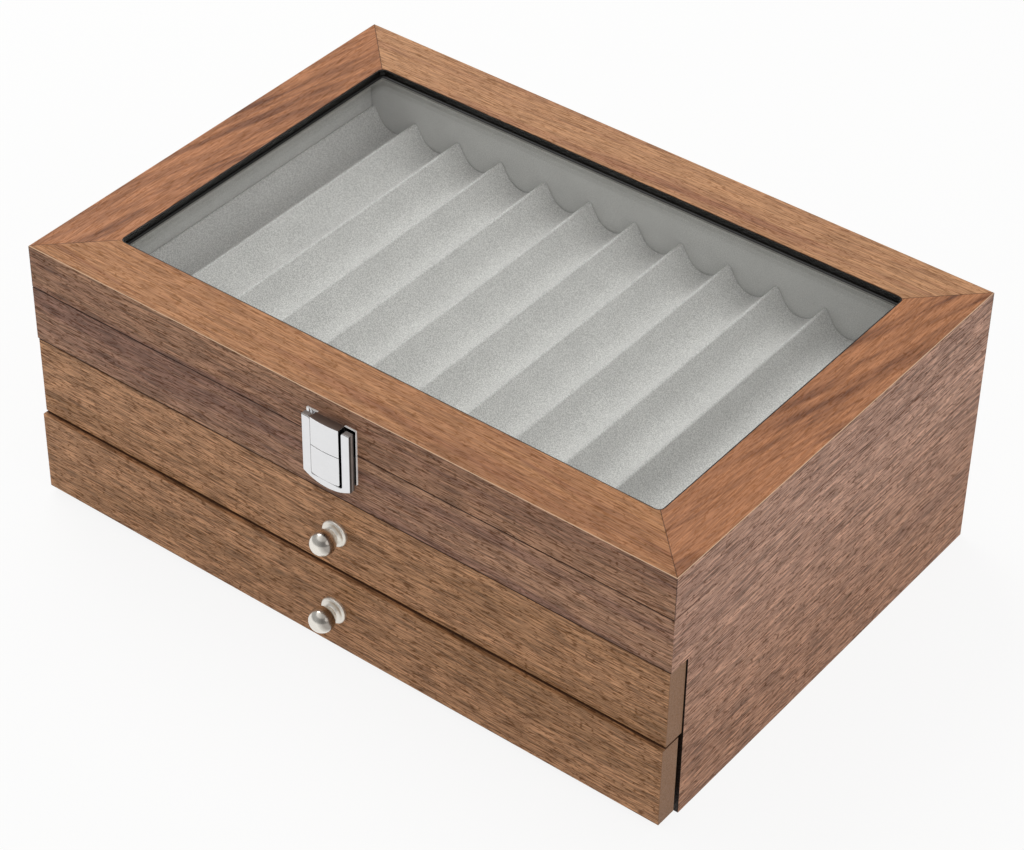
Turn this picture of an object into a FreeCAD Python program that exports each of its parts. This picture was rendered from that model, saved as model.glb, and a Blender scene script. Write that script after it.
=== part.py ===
import FreeCAD, Part
import math
import operator
import os
import Sketcher

# Pen collector chest: a veneered case with a glazed lid over a channelled pen tray, and two
# drawers with pen trays below it. Millimetres. X runs to the right, Y to the back, Z up. The
# origin is at the middle of the underside, so the chest stands on the plane Z = 0.

doc = FreeCAD.newDocument("PenChest")
sheet = doc.addObject("Spreadsheet::Sheet", "Sizes")


# A size carries the expression that the document keeps for it and the number it has now, so a
# formula is written once and binds a property to the sheet.
class Size:
    def __init__(self, text, number):
        self.text = text
        self.number = number

    def __add__(self, other):
        return combine(self, "+", other)

    def __sub__(self, other):
        return combine(self, "-", other)

    def __mul__(self, other):
        return combine(self, "*", other)

    def __truediv__(self, other):
        return combine(self, "/", other)

    def __neg__(self):
        return combine(-1, "*", self)


OPERATIONS = {"+": operator.add, "-": operator.sub, "*": operator.mul, "/": operator.truediv}


def asSize(value):
    if isinstance(value, Size):
        return value
    return Size("(%s)" % repr(value), value)


def combine(left, sign, right):
    left = asSize(left)
    right = asSize(right)
    number = OPERATIONS[sign](left.number, right.number)
    return Size("(%s %s %s)" % (left.text, sign, right.text), number)


def root(size):
    return Size("sqrt(%s)" % size.text, math.sqrt(size.number))


sheetRow = 0


def cell(alias, number, meaning):
    global sheetRow
    sheetRow += 1
    sheet.set("A%d" % sheetRow, meaning)
    sheet.set("B%d" % sheetRow, str(number))
    sheet.setAlias("B%d" % sheetRow, alias)
    return Size("Sizes.%s" % alias, number)


# The case
caseWidth = cell("caseWidth", 330.0, "width over the side panels")
caseDepth = cell("caseDepth", 224.0, "depth from front to back")
caseHeight = cell("caseHeight", 131.3, "height of the closed chest")
lidHeight = cell("lidHeight", 21.0, "from the lid's top to the middle of its seam")
seamGap = cell("seamGap", 0.4, "open seam between lid and case")
wallThick = cell("wallThick", 10.0, "thickness of the case's panels")
frontRailHeight = cell("frontRailHeight", 26.9, "fixed front rail, from the seam down")
notchDepth = cell("notchDepth", 11.0, "how far the side panels stand back behind the drawer fronts")
compartmentDepth = cell("compartmentDepth", 19.5, "from the rim down to the pen compartment's floor")
floorThick = cell("floorThick", 5.0, "thickness of the compartment's floor")
dividerThick = cell("dividerThick", 4.0, "board between the two drawers")
baseThick = cell("baseThick", 5.0, "base board")
feltThick = cell("feltThick", 1.0, "felt under the base board")
housingDepth = cell("housingDepth", 2.0, "depth of the housings cut for the boards")
arrisRadius = cell("arrisRadius", 0.4, "rounding of the veneered arrises")

# The lid
lidRailWidth = cell("lidRailWidth", 26.5, "width of the mitred top rails")
skirtThick = cell("skirtThick", 9.0, "thickness of the rails' downward skirt")
windowRadius = cell("windowRadius", 3.0, "inner corners of the window")
glassDrop = cell("glassDrop", 4.4, "from the lid's top down to the glass")
glassThick = cell("glassThick", 2.5, "glass pane")
glassLap = cell("glassLap", 12.0, "how far the rebate for the glass runs under the rails")
glassPlay = cell("glassPlay", 0.4, "play round the pane in its rebate")
gasketThick = cell("gasketThick", 0.7, "wall of the black window gasket")
gasketDrop = cell("gasketDrop", 0.3, "gasket's top edge below the lid's top")
beadRadius = cell("beadRadius", 1.4, "rounded foot of the gasket on the glass")
retainerThick = cell("retainerThick", 2.4, "board that holds the pane from below")
retainerPlay = cell("retainerPlay", 0.3, "play of the retainer in the lid and over the lip")

# The lining and the pen trays
liningSide = cell("liningSide", 6.4, "padded lining boards at the sides")
liningEnd = cell("liningEnd", 11.0, "padded lining boards at front and back")
lipHeight = cell("lipHeight", 11.5, "how far the lining stands above the rim as the lid's lip")
liningRadius = cell("liningRadius", 1.2, "rounded top edges of the lining boards")
channelCount = cell("channelCount", 12, "pen channels in the glazed compartment")
drawerChannelCount = cell("drawerChannelCount", 10, "pen channels in each drawer")
channelDepth = cell("channelDepth", 10.4, "from a ridge's crest to the channel's bottom")
channelRadius = cell("channelRadius", 9.5, "round bottom of a channel")
drawerChannelRadius = cell("drawerChannelRadius", 11.0, "round bottom of a drawer's channel")
crestRadius = cell("crestRadius", 1.2, "rounded crest of a ridge")
trayFloor = cell("trayFloor", 2.2, "tray's thickness under a channel")
trayPlay = cell("trayPlay", 0.3, "play round a tray")

# The drawers
frontInset = cell("frontInset", 0.5, "how far a drawer front stops short of the case's side")
frontThick = cell("frontThick", 10.4, "thickness of the drawer fronts")
plinthGap = cell("plinthGap", 3.0, "lower drawer front above the table")
lowerFrontHeight = cell("lowerFrontHeight", 40.3, "height of the lower drawer front")
frontGap = cell("frontGap", 1.0, "gap between the drawer fronts")
railGap = cell("railGap", 0.5, "gap between upper drawer front and fixed rail")
ajar = cell("ajar", 2.0, "how far the lower drawer stands open")
drawerWall = cell("drawerWall", 8.0, "thickness of the drawers' sides and backs")
upperHeadroom = cell("upperHeadroom", 7.4, "clear height over the upper drawer's sides")
lowerHeadroom = cell("lowerHeadroom", 3.4, "clear height over the lower drawer's sides")
drawerBackGap = cell("drawerBackGap", 6.0, "closed drawer box clear of the back panel")
drawerPlay = cell("drawerPlay", 0.8, "play at each side of a drawer box")
drawerLift = cell("drawerLift", 0.4, "play under a drawer box")
bottomThick = cell("bottomThick", 3.0, "drawer bottom")
grooveHeight = cell("grooveHeight", 3.0, "drawer bottom above the sides' lower edge")
grooveDepth = cell("grooveDepth", 3.0, "groove that holds the drawer bottom")
groovePlay = cell("groovePlay", 0.15, "play of the drawer bottom in its groove")

# The drawer knobs
ballRadius = cell("ballRadius", 5.7, "knob's ball")
ballReach = cell("ballReach", 8.0, "ball's centre in front of the drawer front")
rosetteRadius = cell("rosetteRadius", 6.3, "knob's round foot")
rosetteRim = cell("rosetteRim", 0.7, "straight rim of the foot")
rosetteThick = cell("rosetteThick", 1.9, "thickness of the foot")
neckRadius = cell("neckRadius", 3.4, "neck between foot and ball")
neckStart = cell("neckStart", 3.0, "where the flared foot has become the neck")
knobScrewRadius = cell("knobScrewRadius", 2.0, "shank of the knob's screw")
knobScrewGrip = cell("knobScrewGrip", 5.0, "screw's length inside the knob")
knobHeadRadius = cell("knobHeadRadius", 3.6, "head of the knob's screw")
knobHeadThick = cell("knobHeadThick", 2.0, "thickness of that head")
screwPlay = cell("screwPlay", 0.1, "play of a screw in its hole")

# The hinges
hingeInset = cell("hingeInset", 60.0, "hinge's middle from the case's side")
hingeLength = cell("hingeLength", 28.0, "length of a hinge")
leafDepth = cell("leafDepth", 7.6, "depth of a leaf let into the rim")
leafThick = cell("leafThick", 1.0, "thickness of a leaf")
leafSetback = cell("leafSetback", 0.4, "leaf's plate stops short of the back face")
knuckleRadius = cell("knuckleRadius", 2.2, "outside of a knuckle")
knuckleStandoff = cell("knuckleStandoff", 0.4, "knuckle clear of the back face")
knuckleLength = cell("knuckleLength", 9.4, "middle knuckle")
knuckleGap = cell("knuckleGap", 0.25, "gap between knuckles")
pinRadius = cell("pinRadius", 0.9, "hinge pin")
pinPlay = cell("pinPlay", 0.05, "running play of the knuckle on the pin")
hingeScrewRadius = cell("hingeScrewRadius", 1.0, "shank of a hinge screw")
hingeScrewLength = cell("hingeScrewLength", 8.0, "length of a hinge screw")
hingeHeadRadius = cell("hingeHeadRadius", 1.8, "sunk head of a hinge screw")
hingeHeadThick = cell("hingeHeadThick", 0.5, "thickness of that head")
hingeScrewPitch = cell("hingeScrewPitch", 18.0, "distance between a leaf's screws")

# The press latch
latchPlateWidth = cell("latchPlateWidth", 25.2, "width of the latch's back plates")
latchPlateThick = cell("latchPlateThick", 0.9, "thickness of the back plates")
latchPlateRise = cell("latchPlateRise", 12.6, "lid's plate above the seam")
latchPlateDrop = cell("latchPlateDrop", 14.7, "case's plate below the seam")
latchWidth = cell("latchWidth", 24.5, "width over the cheeks")
latchRise = cell("latchRise", 11.9, "cheeks' tops above the seam")
latchDrop = cell("latchDrop", 16.6, "ends of the round bottom below the seam")
latchSag = cell("latchSag", 3.5, "height of the round bottom")
latchReach = cell("latchReach", 4.7, "front of the cheeks before the case's front")
latchStandoff = cell("latchStandoff", 1.9, "back of the cheeks before the case's front")
latchEdge = cell("latchEdge", 0.5, "rounded edges of the latch's front")
cheekCorner = cell("cheekCorner", 1.3, "rounded inner corner at a cheek's top")
slotCorner = cell("slotCorner", 0.8, "rounded corners at the slot's bottom")
slotWidth = cell("slotWidth", 15.8, "width between the cheeks")
slotDrop = cell("slotDrop", 16.4, "bottom of the slot below the seam")
slotGap = cell("slotGap", 0.95, "gap at the right of the tongue and the button")
slotGapLeft = cell("slotGapLeft", 0.4, "gap at their left, where they lie nearer the cheek")
slotGapUnder = cell("slotGapUnder", 0.7, "gap between the button and the bottom of its slot")
fineGap = cell("fineGap", 0.3, "gap between the tongue and the button, and inside the latch")
splitDrop = cell("splitDrop", 1.3, "line between tongue and button below the seam")
lipThick = cell("lipThick", 1.5, "front wall of the case before the button's flange")
flangeWidth = cell("flangeWidth", 18.4, "width of the button's flange")
flangeThick = cell("flangeThick", 0.8, "thickness of the flange")
flangeMargin = cell("flangeMargin", 1.2, "flange stops short of the button's ends")
buttonReach = cell("buttonReach", 4.9, "button's front edges before the case's front")
buttonTravel = cell("buttonTravel", 1.1, "how far the button goes in")
bulge = cell("bulge", 0.5, "convex rise of the tongue and the button")
tongueRise = cell("tongueRise", 12.6, "tongue's top above the seam")
prongWidth = cell("prongWidth", 5.0, "catch prong under the tongue")
prongLength = cell("prongLength", 3.0, "length of the prong")
prongThick = cell("prongThick", 0.7, "thickness of the prong")
springThick = cell("springThick", 0.3, "leaf spring")
springSpan = cell("springSpan", 10.0, "span of the bowed spring")
springHeight = cell("springHeight", 4.0, "width of the spring's strip")
latchScrewRadius = cell("latchScrewRadius", 1.0, "shank of a latch screw")
latchHeadRadius = cell("latchHeadRadius", 1.9, "head of a latch screw")
latchHeadThick = cell("latchHeadThick", 1.3, "thickness of that head")

# Planes that several pieces share
right = caseWidth / 2
back = caseDepth / 2
front = -back
top = caseHeight
seam = caseHeight - lidHeight
rim = seam - seamGap / 2
lidBottom = seam + seamGap / 2
railBottom = seam - frontRailHeight
floorTop = rim - compartmentDepth
floorBottom = floorTop - floorThick
innerX = right - wallThick
innerY = back - wallThick
liningX = innerX - liningSide
liningY = innerY - liningEnd
lipTop = rim + lipHeight
baseTop = feltThick + baseThick
lowerFrontTop = plinthGap + lowerFrontHeight
upperFrontBottom = lowerFrontTop + frontGap
upperFrontTop = railBottom - railGap
dividerBottom = lowerFrontTop + frontGap / 2 - dividerThick / 2
dividerTop = dividerBottom + dividerThick
glassTop = top - glassDrop
glassBottom = glassTop - glassThick
windowX = right - lidRailWidth
windowY = back - lidRailWidth
hingeSpread = right - hingeInset
hingeY = back + knuckleStandoff + knuckleRadius

doc.recompute()

nodes = []
cuts = []


def setSize(item, path, size):
    item.setExpression(path, size.text)


def makeBody(label):
    body = doc.addObject("PartDesign::Body", label)
    body.Label = label
    nodes.append(body)
    return body


def originPart(body, role):
    for feature in body.Origin.OriginFeatures:
        if feature.Role == role:
            return feature
    raise ValueError(role)


# A sketch on one of its body's origin planes, moved out along that plane's normal.
def makeSketch(body, plane, offset):
    sketch = body.newObject("Sketcher::SketchObject", body.Label + "_sketch")
    sketch.AttachmentSupport = [(originPart(body, plane), "")]
    sketch.MapMode = "FlatFace"
    setSize(sketch, "AttachmentOffset.Base.z", offset)
    return sketch


def arcBetween(start, end, radius, side):
    chord = end - start
    middle = (start + end) * 0.5
    leftward = FreeCAD.Vector(-chord.y, chord.x, 0).normalize()
    height = math.sqrt(max(radius * radius - chord.Length ** 2 / 4, 0))
    centre = middle + leftward * height * side
    first, last = (start, end) if side > 0 else (end, start)
    firstAngle = math.atan2(first.y - centre.y, first.x - centre.x)
    lastAngle = math.atan2(last.y - centre.y, last.x - centre.x)
    if lastAngle < firstAngle:
        lastAngle += 2 * math.pi
    circle = Part.Circle(centre, FreeCAD.Vector(0, 0, 1), radius)
    return Part.ArcOfCircle(circle, firstAngle, lastAngle)


# A closed outline through points given as pairs of sizes. arcs names the edges that are round,
# each with its radius and the side of its centre: 1 on the left of the way along, -1 right.
def drawOutline(sketch, points, arcs=None):
    arcs = arcs or {}
    vertices = [FreeCAD.Vector(asSize(x).number, asSize(y).number, 0) for x, y in points]
    firstEdge = sketch.GeometryCount
    starts = []
    ends = []
    for index, start in enumerate(vertices):
        end = vertices[(index + 1) % len(vertices)]
        if index in arcs:
            radius, side = arcs[index]
            edge = sketch.addGeometry(arcBetween(start, end, radius.number, side), False)
            starts.append((edge, 1 if side > 0 else 2))
            ends.append((edge, 2 if side > 0 else 1))
        else:
            edge = sketch.addGeometry(Part.LineSegment(start, end), False)
            starts.append((edge, 1))
            ends.append((edge, 2))
    for index in range(len(vertices)):
        before = ends[index - 1]
        after = starts[index]
        sketch.addConstraint(Sketcher.Constraint("Coincident", *before, *after))
    for index, (x, y) in enumerate(points):
        place(sketch, "DistanceX", starts[index], asSize(x))
        place(sketch, "DistanceY", starts[index], asSize(y))
    for index, (radius, side) in arcs.items():
        number = sketch.addConstraint(Sketcher.Constraint("Radius", firstEdge + index, radius.number))
        setSize(sketch, "Constraints[%d]" % number, radius)


def place(sketch, kind, point, size):
    number = sketch.addConstraint(Sketcher.Constraint(kind, point[0], point[1], size.number))
    setSize(sketch, "Constraints[%d]" % number, size)


def drawCircle(sketch, x, y, radius):
    centre = FreeCAD.Vector(asSize(x).number, asSize(y).number, 0)
    circle = sketch.addGeometry(Part.Circle(centre, FreeCAD.Vector(0, 0, 1), radius.number), False)
    place(sketch, "DistanceX", (circle, 3), asSize(x))
    place(sketch, "DistanceY", (circle, 3), asSize(y))
    number = sketch.addConstraint(Sketcher.Constraint("Radius", circle, radius.number))
    setSize(sketch, "Constraints[%d]" % number, radius)


def rectangle(x0, y0, x1, y1):
    return [(x0, y0), (x1, y0), (x1, y1), (x0, y1)]


def roundedRectangle(x0, y0, x1, y1, radius):
    points = [(x0 + radius, y0), (x1 - radius, y0), (x1, y0 + radius), (x1, y1 - radius),
              (x1 - radius, y1), (x0 + radius, y1), (x0, y1 - radius), (x0, y0 + radius)]
    return points, {edge: (radius, 1) for edge in (1, 3, 5, 7)}


# Solids run between two coordinates on the axis across their sketch's plane. The XZ plane's
# normal points to the front, the other two planes' normals along their axes.
def addPrism(body, plane, low, high, draw):
    sketch = makeSketch(body, plane, -high if plane == "XZ_Plane" else asSize(low))
    draw(sketch)
    pad = body.newObject("PartDesign::Pad", body.Label + "_pad")
    pad.Profile = sketch
    setSize(pad, "Length", asSize(high) - low)
    return pad


def cutPrism(body, plane, low, high, draw):
    base = body.Tip
    sketch = makeSketch(body, plane, -asSize(low) if plane == "XZ_Plane" else asSize(high))
    draw(sketch)
    pocket = body.newObject("PartDesign::Pocket", body.Label + "_cut")
    pocket.Profile = sketch
    setSize(pocket, "Length", asSize(high) - low)
    cuts.append((base, pocket))
    return pocket


def addBlock(body, x0, x1, y0, y1, z0, z1):
    return addPrism(body, "XY_Plane", z0, z1, lambda s: drawOutline(s, rectangle(x0, y0, x1, y1)))


def cutBlock(body, x0, x1, y0, y1, z0, z1):
    return cutPrism(body, "XY_Plane", z0, z1, lambda s: drawOutline(s, rectangle(x0, y0, x1, y1)))


def roundEdges(body, radius, chosen):
    doc.recompute()
    base = body.Tip
    names = ["Edge%d" % (i + 1) for i, edge in enumerate(base.Shape.Edges) if chosen(edge)]
    if not names:
        raise ValueError("no edge to round on " + body.Label)
    fillet = body.newObject("PartDesign::Fillet", body.Label + "_round")
    fillet.Base = (base, names)
    setSize(fillet, "Radius", radius)
    cuts.append((base, fillet))
    return fillet


# A straight edge all of whose points have one coordinate, within a hundredth.
def liesAt(edge, axis, size):
    low = getattr(edge.BoundBox, axis + "Min")
    high = getattr(edge.BoundBox, axis + "Max")
    return abs(low - size.number) < 0.01 and abs(high - size.number) < 0.01


# A plain board is a box between three pairs of sizes.
def makeBoard(label, x0, x1, y0, y1, z0, z1):
    board = doc.addObject("Part::Box", label)
    board.Label = label
    setSize(board, "Length", asSize(x1) - x0)
    setSize(board, "Width", asSize(y1) - y0)
    setSize(board, "Height", asSize(z1) - z0)
    setSize(board, "Placement.Base.x", asSize(x0))
    setSize(board, "Placement.Base.y", asSize(y0))
    setSize(board, "Placement.Base.z", asSize(z0))
    nodes.append(board)
    return board


# Two coordinates, low then high, of what lies between two distances from the middle plane.
def span(side, near, far):
    return (asSize(near), asSize(far)) if side > 0 else (-asSize(far), -asSize(near))


def sideName(side):
    return "right" if side > 0 else "left"


# The case: mitred walls with housings for the boards

# A side panel is mitred at both ends. Below the front rail it stands back behind the drawer
# fronts, which lie over its edge.
def makeSidePanel(side):
    body = makeBody("side_panel_" + sideName(side))
    plan = [(right, front), (right, back), (innerX, innerY), (innerX, -innerY)]
    if side < 0:
        plan = [(-x, y) for x, y in plan][::-1]
    addPrism(body, "XY_Plane", asSize(0), rim, lambda s: drawOutline(s, plan))
    cutBlock(body, *span(side, innerX - 1, right + 1), front - 1, front + notchDepth,
             asSize(-1), railBottom)
    for low, high in [(floorBottom, floorTop), (dividerBottom, dividerTop), (feltThick, baseTop)]:
        cutBlock(body, *span(side, innerX - 1, innerX + housingDepth), -innerY, innerY, low, high)


# Hinge leaves sink into the wood of the rim and of the lid, with a hole for each screw.
def cutHingeSeats(body, low, high, holeLow, holeHigh):
    for side in (-1, 1):
        x0, x1 = span(side, hingeSpread - hingeLength / 2, hingeSpread + hingeLength / 2)
        cutBlock(body, x0, x1, back - leafSetback - leafDepth, back + 1, low, high)
        cutPrism(body, "XY_Plane", holeLow, holeHigh,
                 lambda s: drawScrewHoles(s, side, hingeScrewRadius))


def drawScrewHoles(sketch, side, radius):
    for end in (-1, 1):
        x = hingeSpread * side + hingeScrewPitch / 2 * end
        drawCircle(sketch, x, back - leafSetback - leafDepth / 2, radius + screwPlay)


def makeBackPanel():
    body = makeBody("back_panel")
    plan = [(-right, back), (-innerX, innerY), (innerX, innerY), (right, back)]
    addPrism(body, "XY_Plane", asSize(0), rim, lambda s: drawOutline(s, plan))
    cutHingeSeats(body, rim - leafThick, rim + 1, rim - hingeScrewLength - 1, rim)


# The fixed front rail carries the latch, whose screws come through it from inside.
def makeFrontRail():
    body = makeBody("upper_front_rail")
    plan = [(-right, front), (right, front), (innerX, -innerY), (-innerX, -innerY)]
    addPrism(body, "XY_Plane", railBottom, rim, lambda s: drawOutline(s, plan))
    cutLatchHoles(body, latchCaseScrewZ, -innerY)


def cutLatchHoles(body, height, innerFace):
    def drawHoles(sketch, radius):
        for side in (-1, 1):
            drawCircle(sketch, latchScrewX * side, height, radius)
    cutPrism(body, "XZ_Plane", front - 1, innerFace + 1,
             lambda s: drawHoles(s, latchScrewRadius + screwPlay))
    cutPrism(body, "XZ_Plane", innerFace - latchHeadThick - screwPlay, innerFace + 1,
             lambda s: drawHoles(s, latchHeadRadius + screwPlay))


def makeCaseBoards():
    x = innerX + housingDepth
    makeBoard("compartment_floor", -x, x, -innerY, innerY, floorBottom, floorTop)
    makeBoard("drawer_divider", -x, x, front + notchDepth, innerY, dividerBottom, dividerTop)
    makeBoard("base_board", -x, x, front + notchDepth, innerY, feltThick, baseTop)
    makeBoard("base_felt", -innerX, innerX, front + notchDepth, innerY, 0, feltThick)


# The lining boards stand on the compartment's floor and rise above the rim as a lip for the lid.
def makeLining():
    for side in (-1, 1):
        body = makeBody("lining_" + sideName(side))
        addBlock(body, *span(side, liningX, innerX), -liningY, liningY, floorTop, lipTop)
        roundEdges(body, liningRadius, lambda e: liesAt(e, "Z", lipTop) and
                   liesAt(e, "X", liningX * side))
    for side, name in ((-1, "lining_front"), (1, "lining_back")):
        body = makeBody(name)
        addBlock(body, -innerX, innerX, *span(side, liningY, innerY), floorTop, lipTop)
        roundEdges(body, liningRadius, lambda e: liesAt(e, "Z", lipTop) and
                   liesAt(e, "Y", liningY * side))


# A pen tray is a row of equal cells. Each cell is half a ridge, a round channel and half a
# ridge: the walls run straight between the channel's arc and the crests' arcs, tangent to both.
def makeTray(label, halfWidth, y0, y1, z0, count, radius):
    body = makeBody(label)
    half = halfWidth / count
    rise = asSize(channelDepth) - crestRadius - radius
    reach = root(half * half + rise * rise)
    slope = angleOf("asin", (radius + crestRadius) / reach) + angleOf("atan", rise / half)
    foot = z0 + trayFloor
    crest = foot + channelDepth
    lowX = radius * ratioOf("sin", slope)
    lowZ = foot + radius - radius * ratioOf("cos", slope)
    highX = half - crestRadius * ratioOf("sin", slope)
    highZ = crest - crestRadius + crestRadius * ratioOf("cos", slope)
    middle = half - halfWidth
    outline = [(middle - half, z0), (middle + half, z0), (middle + half, crest),
               (middle + highX, highZ), (middle + lowX, lowZ), (middle - lowX, lowZ),
               (middle - highX, highZ), (middle - half, crest)]
    arcs = {2: (crestRadius, 1), 4: (radius, -1), 6: (crestRadius, 1)}
    cellPad = addPrism(body, "XZ_Plane", y0, y1, lambda s: drawOutline(s, outline, arcs))
    row = body.newObject("PartDesign::LinearPattern", label + "_row")
    row.Originals = [cellPad]
    row.Direction = (originPart(body, "X_Axis"), [""])
    setSize(row, "Length", half * 2 * (count - 1))
    setSize(row, "Occurrences", count)
    body.Tip = row
    return body


def angleOf(function, ratio):
    number = math.degrees(getattr(math, function)(ratio.number))
    return Size("%s(%s)" % (function, ratio.text), number)


def ratioOf(function, angle):
    return Size("%s(%s)" % (function, angle.text), getattr(math, function)(math.radians(angle.number)))


# The lid: four mitred rails of one moulding, rebated for the glass

# Points of the moulding's section, as distance in from the lid's outer face and height. It is
# wider than the rail by the window's corner radius, so that the routed corners keep their wood.
def railSection():
    inner = lidRailWidth + windowRadius
    rebate = lidRailWidth - glassLap
    return [(asSize(0), lidBottom), (asSize(0), top), (inner, top), (inner, glassTop),
            (rebate, glassTop), (rebate, glassBottom), (asSize(skirtThick), glassBottom),
            (asSize(skirtThick), lidBottom)]


# Both ends of a rail are cut back along the diagonals from the lid's outer corners.
def drawMitres(sketch, sign, alongX):
    reach = lidRailWidth + windowRadius + 1
    for end in (-1, 1):
        signX, signY = (end, sign) if alongX else (sign, end)
        corner = (right * signX, back * signY)
        inner = ((right - reach) * signX, (back - reach) * signY)
        third = (corner[0], inner[1]) if alongX else (inner[0], corner[1])
        drawOutline(sketch, [corner, third, inner])


def makeLidRail(label, sign, alongX):
    body = makeBody(label)
    outer = back if alongX else right
    section = [((outer - u) * sign, z) for u, z in railSection()]
    length = right if alongX else back
    addPrism(body, "YZ_Plane" if alongX else "XZ_Plane", -length, length,
             lambda s: drawOutline(s, section))
    cutPrism(body, "XY_Plane", lidBottom - 1, top + 1, lambda s: drawMitres(s, sign, alongX))
    window = roundedRectangle(-windowX, -windowY, windowX, windowY, asSize(windowRadius))
    cutPrism(body, "XY_Plane", glassBottom, top + 1, lambda s: drawOutline(s, *window))
    roundEdges(body, arrisRadius, lambda e: liesAt(e, "Z", top) and
               liesAt(e, "Y" if alongX else "X", outer * sign))
    return body


def makeLidRails():
    rail = makeLidRail("lid_rail_front", -1, True)
    cutLatchHoles(rail, latchLidScrewZ, front + skirtThick)
    rail = makeLidRail("lid_rail_back", 1, True)
    cutHingeSeats(rail, lidBottom - 1, lidBottom + leafThick, lidBottom, lidBottom + hingeScrewLength + 1)
    makeLidRail("lid_rail_left", -1, False)
    makeLidRail("lid_rail_right", 1, False)


def makeGlazing():
    x = right - lidRailWidth + glassLap - glassPlay
    y = back - lidRailWidth + glassLap - glassPlay
    makeBoard("glass_pane", -x, x, -y, y, glassBottom, glassTop)
    gasket = makeBody("window_gasket")
    outer = roundedRectangle(-windowX, -windowY, windowX, windowY, asSize(windowRadius))
    addPrism(gasket, "XY_Plane", glassTop, top - gasketDrop, lambda s: drawOutline(s, *outer))
    foot = gasketThick + beadRadius
    hole = roundedRectangle(foot - windowX, foot - windowY, windowX - foot, windowY - foot,
                            windowRadius - foot)
    cutPrism(gasket, "XY_Plane", glassTop, top, lambda s: drawOutline(s, *hole))
    inner = roundedRectangle(gasketThick - windowX, gasketThick - windowY, windowX - gasketThick,
                             windowY - gasketThick, windowRadius - gasketThick)
    cutPrism(gasket, "XY_Plane", glassTop + beadRadius, top, lambda s: drawOutline(s, *inner))
    roundEdges(gasket, beadRadius * 0.8, lambda e: liesAt(e, "Z", glassTop + beadRadius) and
               (liesAt(e, "X", windowX - foot) or liesAt(e, "X", foot - windowX) or
                liesAt(e, "Y", windowY - foot) or liesAt(e, "Y", foot - windowY)))
    retainer = makeBody("glass_retainer")
    x = right - skirtThick - retainerPlay
    y = back - skirtThick - retainerPlay
    addBlock(retainer, -x, x, -y, y, glassBottom - retainerThick, glassBottom)
    cutBlock(retainer, -liningX - retainerPlay, liningX + retainerPlay, -liningY - retainerPlay,
             liningY + retainerPlay, glassBottom - retainerThick, glassBottom)


# Butt hinges: the lower leaf has the two outer knuckles and the pin, the upper leaf the middle one

def knuckleSpans(middle, upper):
    half = knuckleLength / 2
    if upper:
        return [(middle - half, middle + half)]
    end = hingeLength / 2
    return [(middle - end, middle - half - knuckleGap), (middle + half + knuckleGap, middle + end)]


def makeLeaf(label, side, upper):
    body = makeBody(label)
    middle = hingeSpread * side
    z0, z1 = (lidBottom, lidBottom + leafThick) if upper else (rim - leafThick, rim)
    y0 = back - leafSetback - leafDepth
    addBlock(body, middle - hingeLength / 2, middle + hingeLength / 2, y0, back - leafSetback, z0, z1)
    for x0, x1 in knuckleSpans(middle, upper):
        addBlock(body, x0, x1, back - leafSetback, hingeY, z0, z1)
        addPrism(body, "YZ_Plane", x0, x1, lambda s: drawCircle(s, hingeY, seam, asSize(knuckleRadius)))
    bore = pinRadius + pinPlay if upper else asSize(pinRadius)
    cutPrism(body, "YZ_Plane", middle - hingeLength / 2 - 1, middle + hingeLength / 2 + 1,
             lambda s: drawCircle(s, hingeY, seam, bore))
    cutPrism(body, "XY_Plane", z0 - 1, z1 + 1, lambda s: drawScrewHoles(s, side, hingeScrewRadius))
    sink = hingeHeadThick + screwPlay
    low, high = (z0 - 1, z0 + sink) if upper else (z1 - sink, z1 + 1)
    cutPrism(body, "XY_Plane", low, high, lambda s: drawScrewHoles(s, side, hingeHeadRadius))


def makeHingePin(side):
    body = makeBody("hinge_pin_" + sideName(side))
    middle = hingeSpread * side
    addPrism(body, "YZ_Plane", middle - hingeLength / 2, middle + hingeLength / 2,
             lambda s: drawCircle(s, hingeY, seam, asSize(pinRadius)))


# All screws of one kind share a node: a flat head on a plain shank at each place. The place is
# the middle of the head's outer face, and the axis is the way that the shank points.
def makeScrews(label, shankRadius, headRadius, headThick, length, places, axis):
    screws = []
    for x, y, z in places:
        shank = makeRod(label, shankRadius, length, (x, y, z), axis)
        head = makeRod(label, headRadius, headThick, (x, y, z), axis)
        screw = doc.addObject("Part::Fuse", label + "_one")
        screw.Base = shank
        screw.Tool = head
        screws.append(screw)
    group = doc.addObject("Part::Compound", label)
    group.Label = label
    group.Links = screws
    nodes.append(group)


# Turn about X that lays a cylinder along each direction.
ROD_TURNS = {"-Z": 180, "+Z": 0, "-Y": 90}


# A cylinder that starts at a place and runs along the named direction.
def makeRod(label, radius, length, place, axis):
    rod = doc.addObject("Part::Cylinder", label + "_rod")
    setSize(rod, "Radius", asSize(radius))
    setSize(rod, "Height", asSize(length))
    turn = FreeCAD.Rotation(FreeCAD.Vector(1, 0, 0), ROD_TURNS[axis])
    rod.Placement = FreeCAD.Placement(FreeCAD.Vector(0, 0, 0), turn)
    for name, size in zip("xyz", place):
        setSize(rod, "Placement.Base." + name, asSize(size))
    return rod


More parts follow.
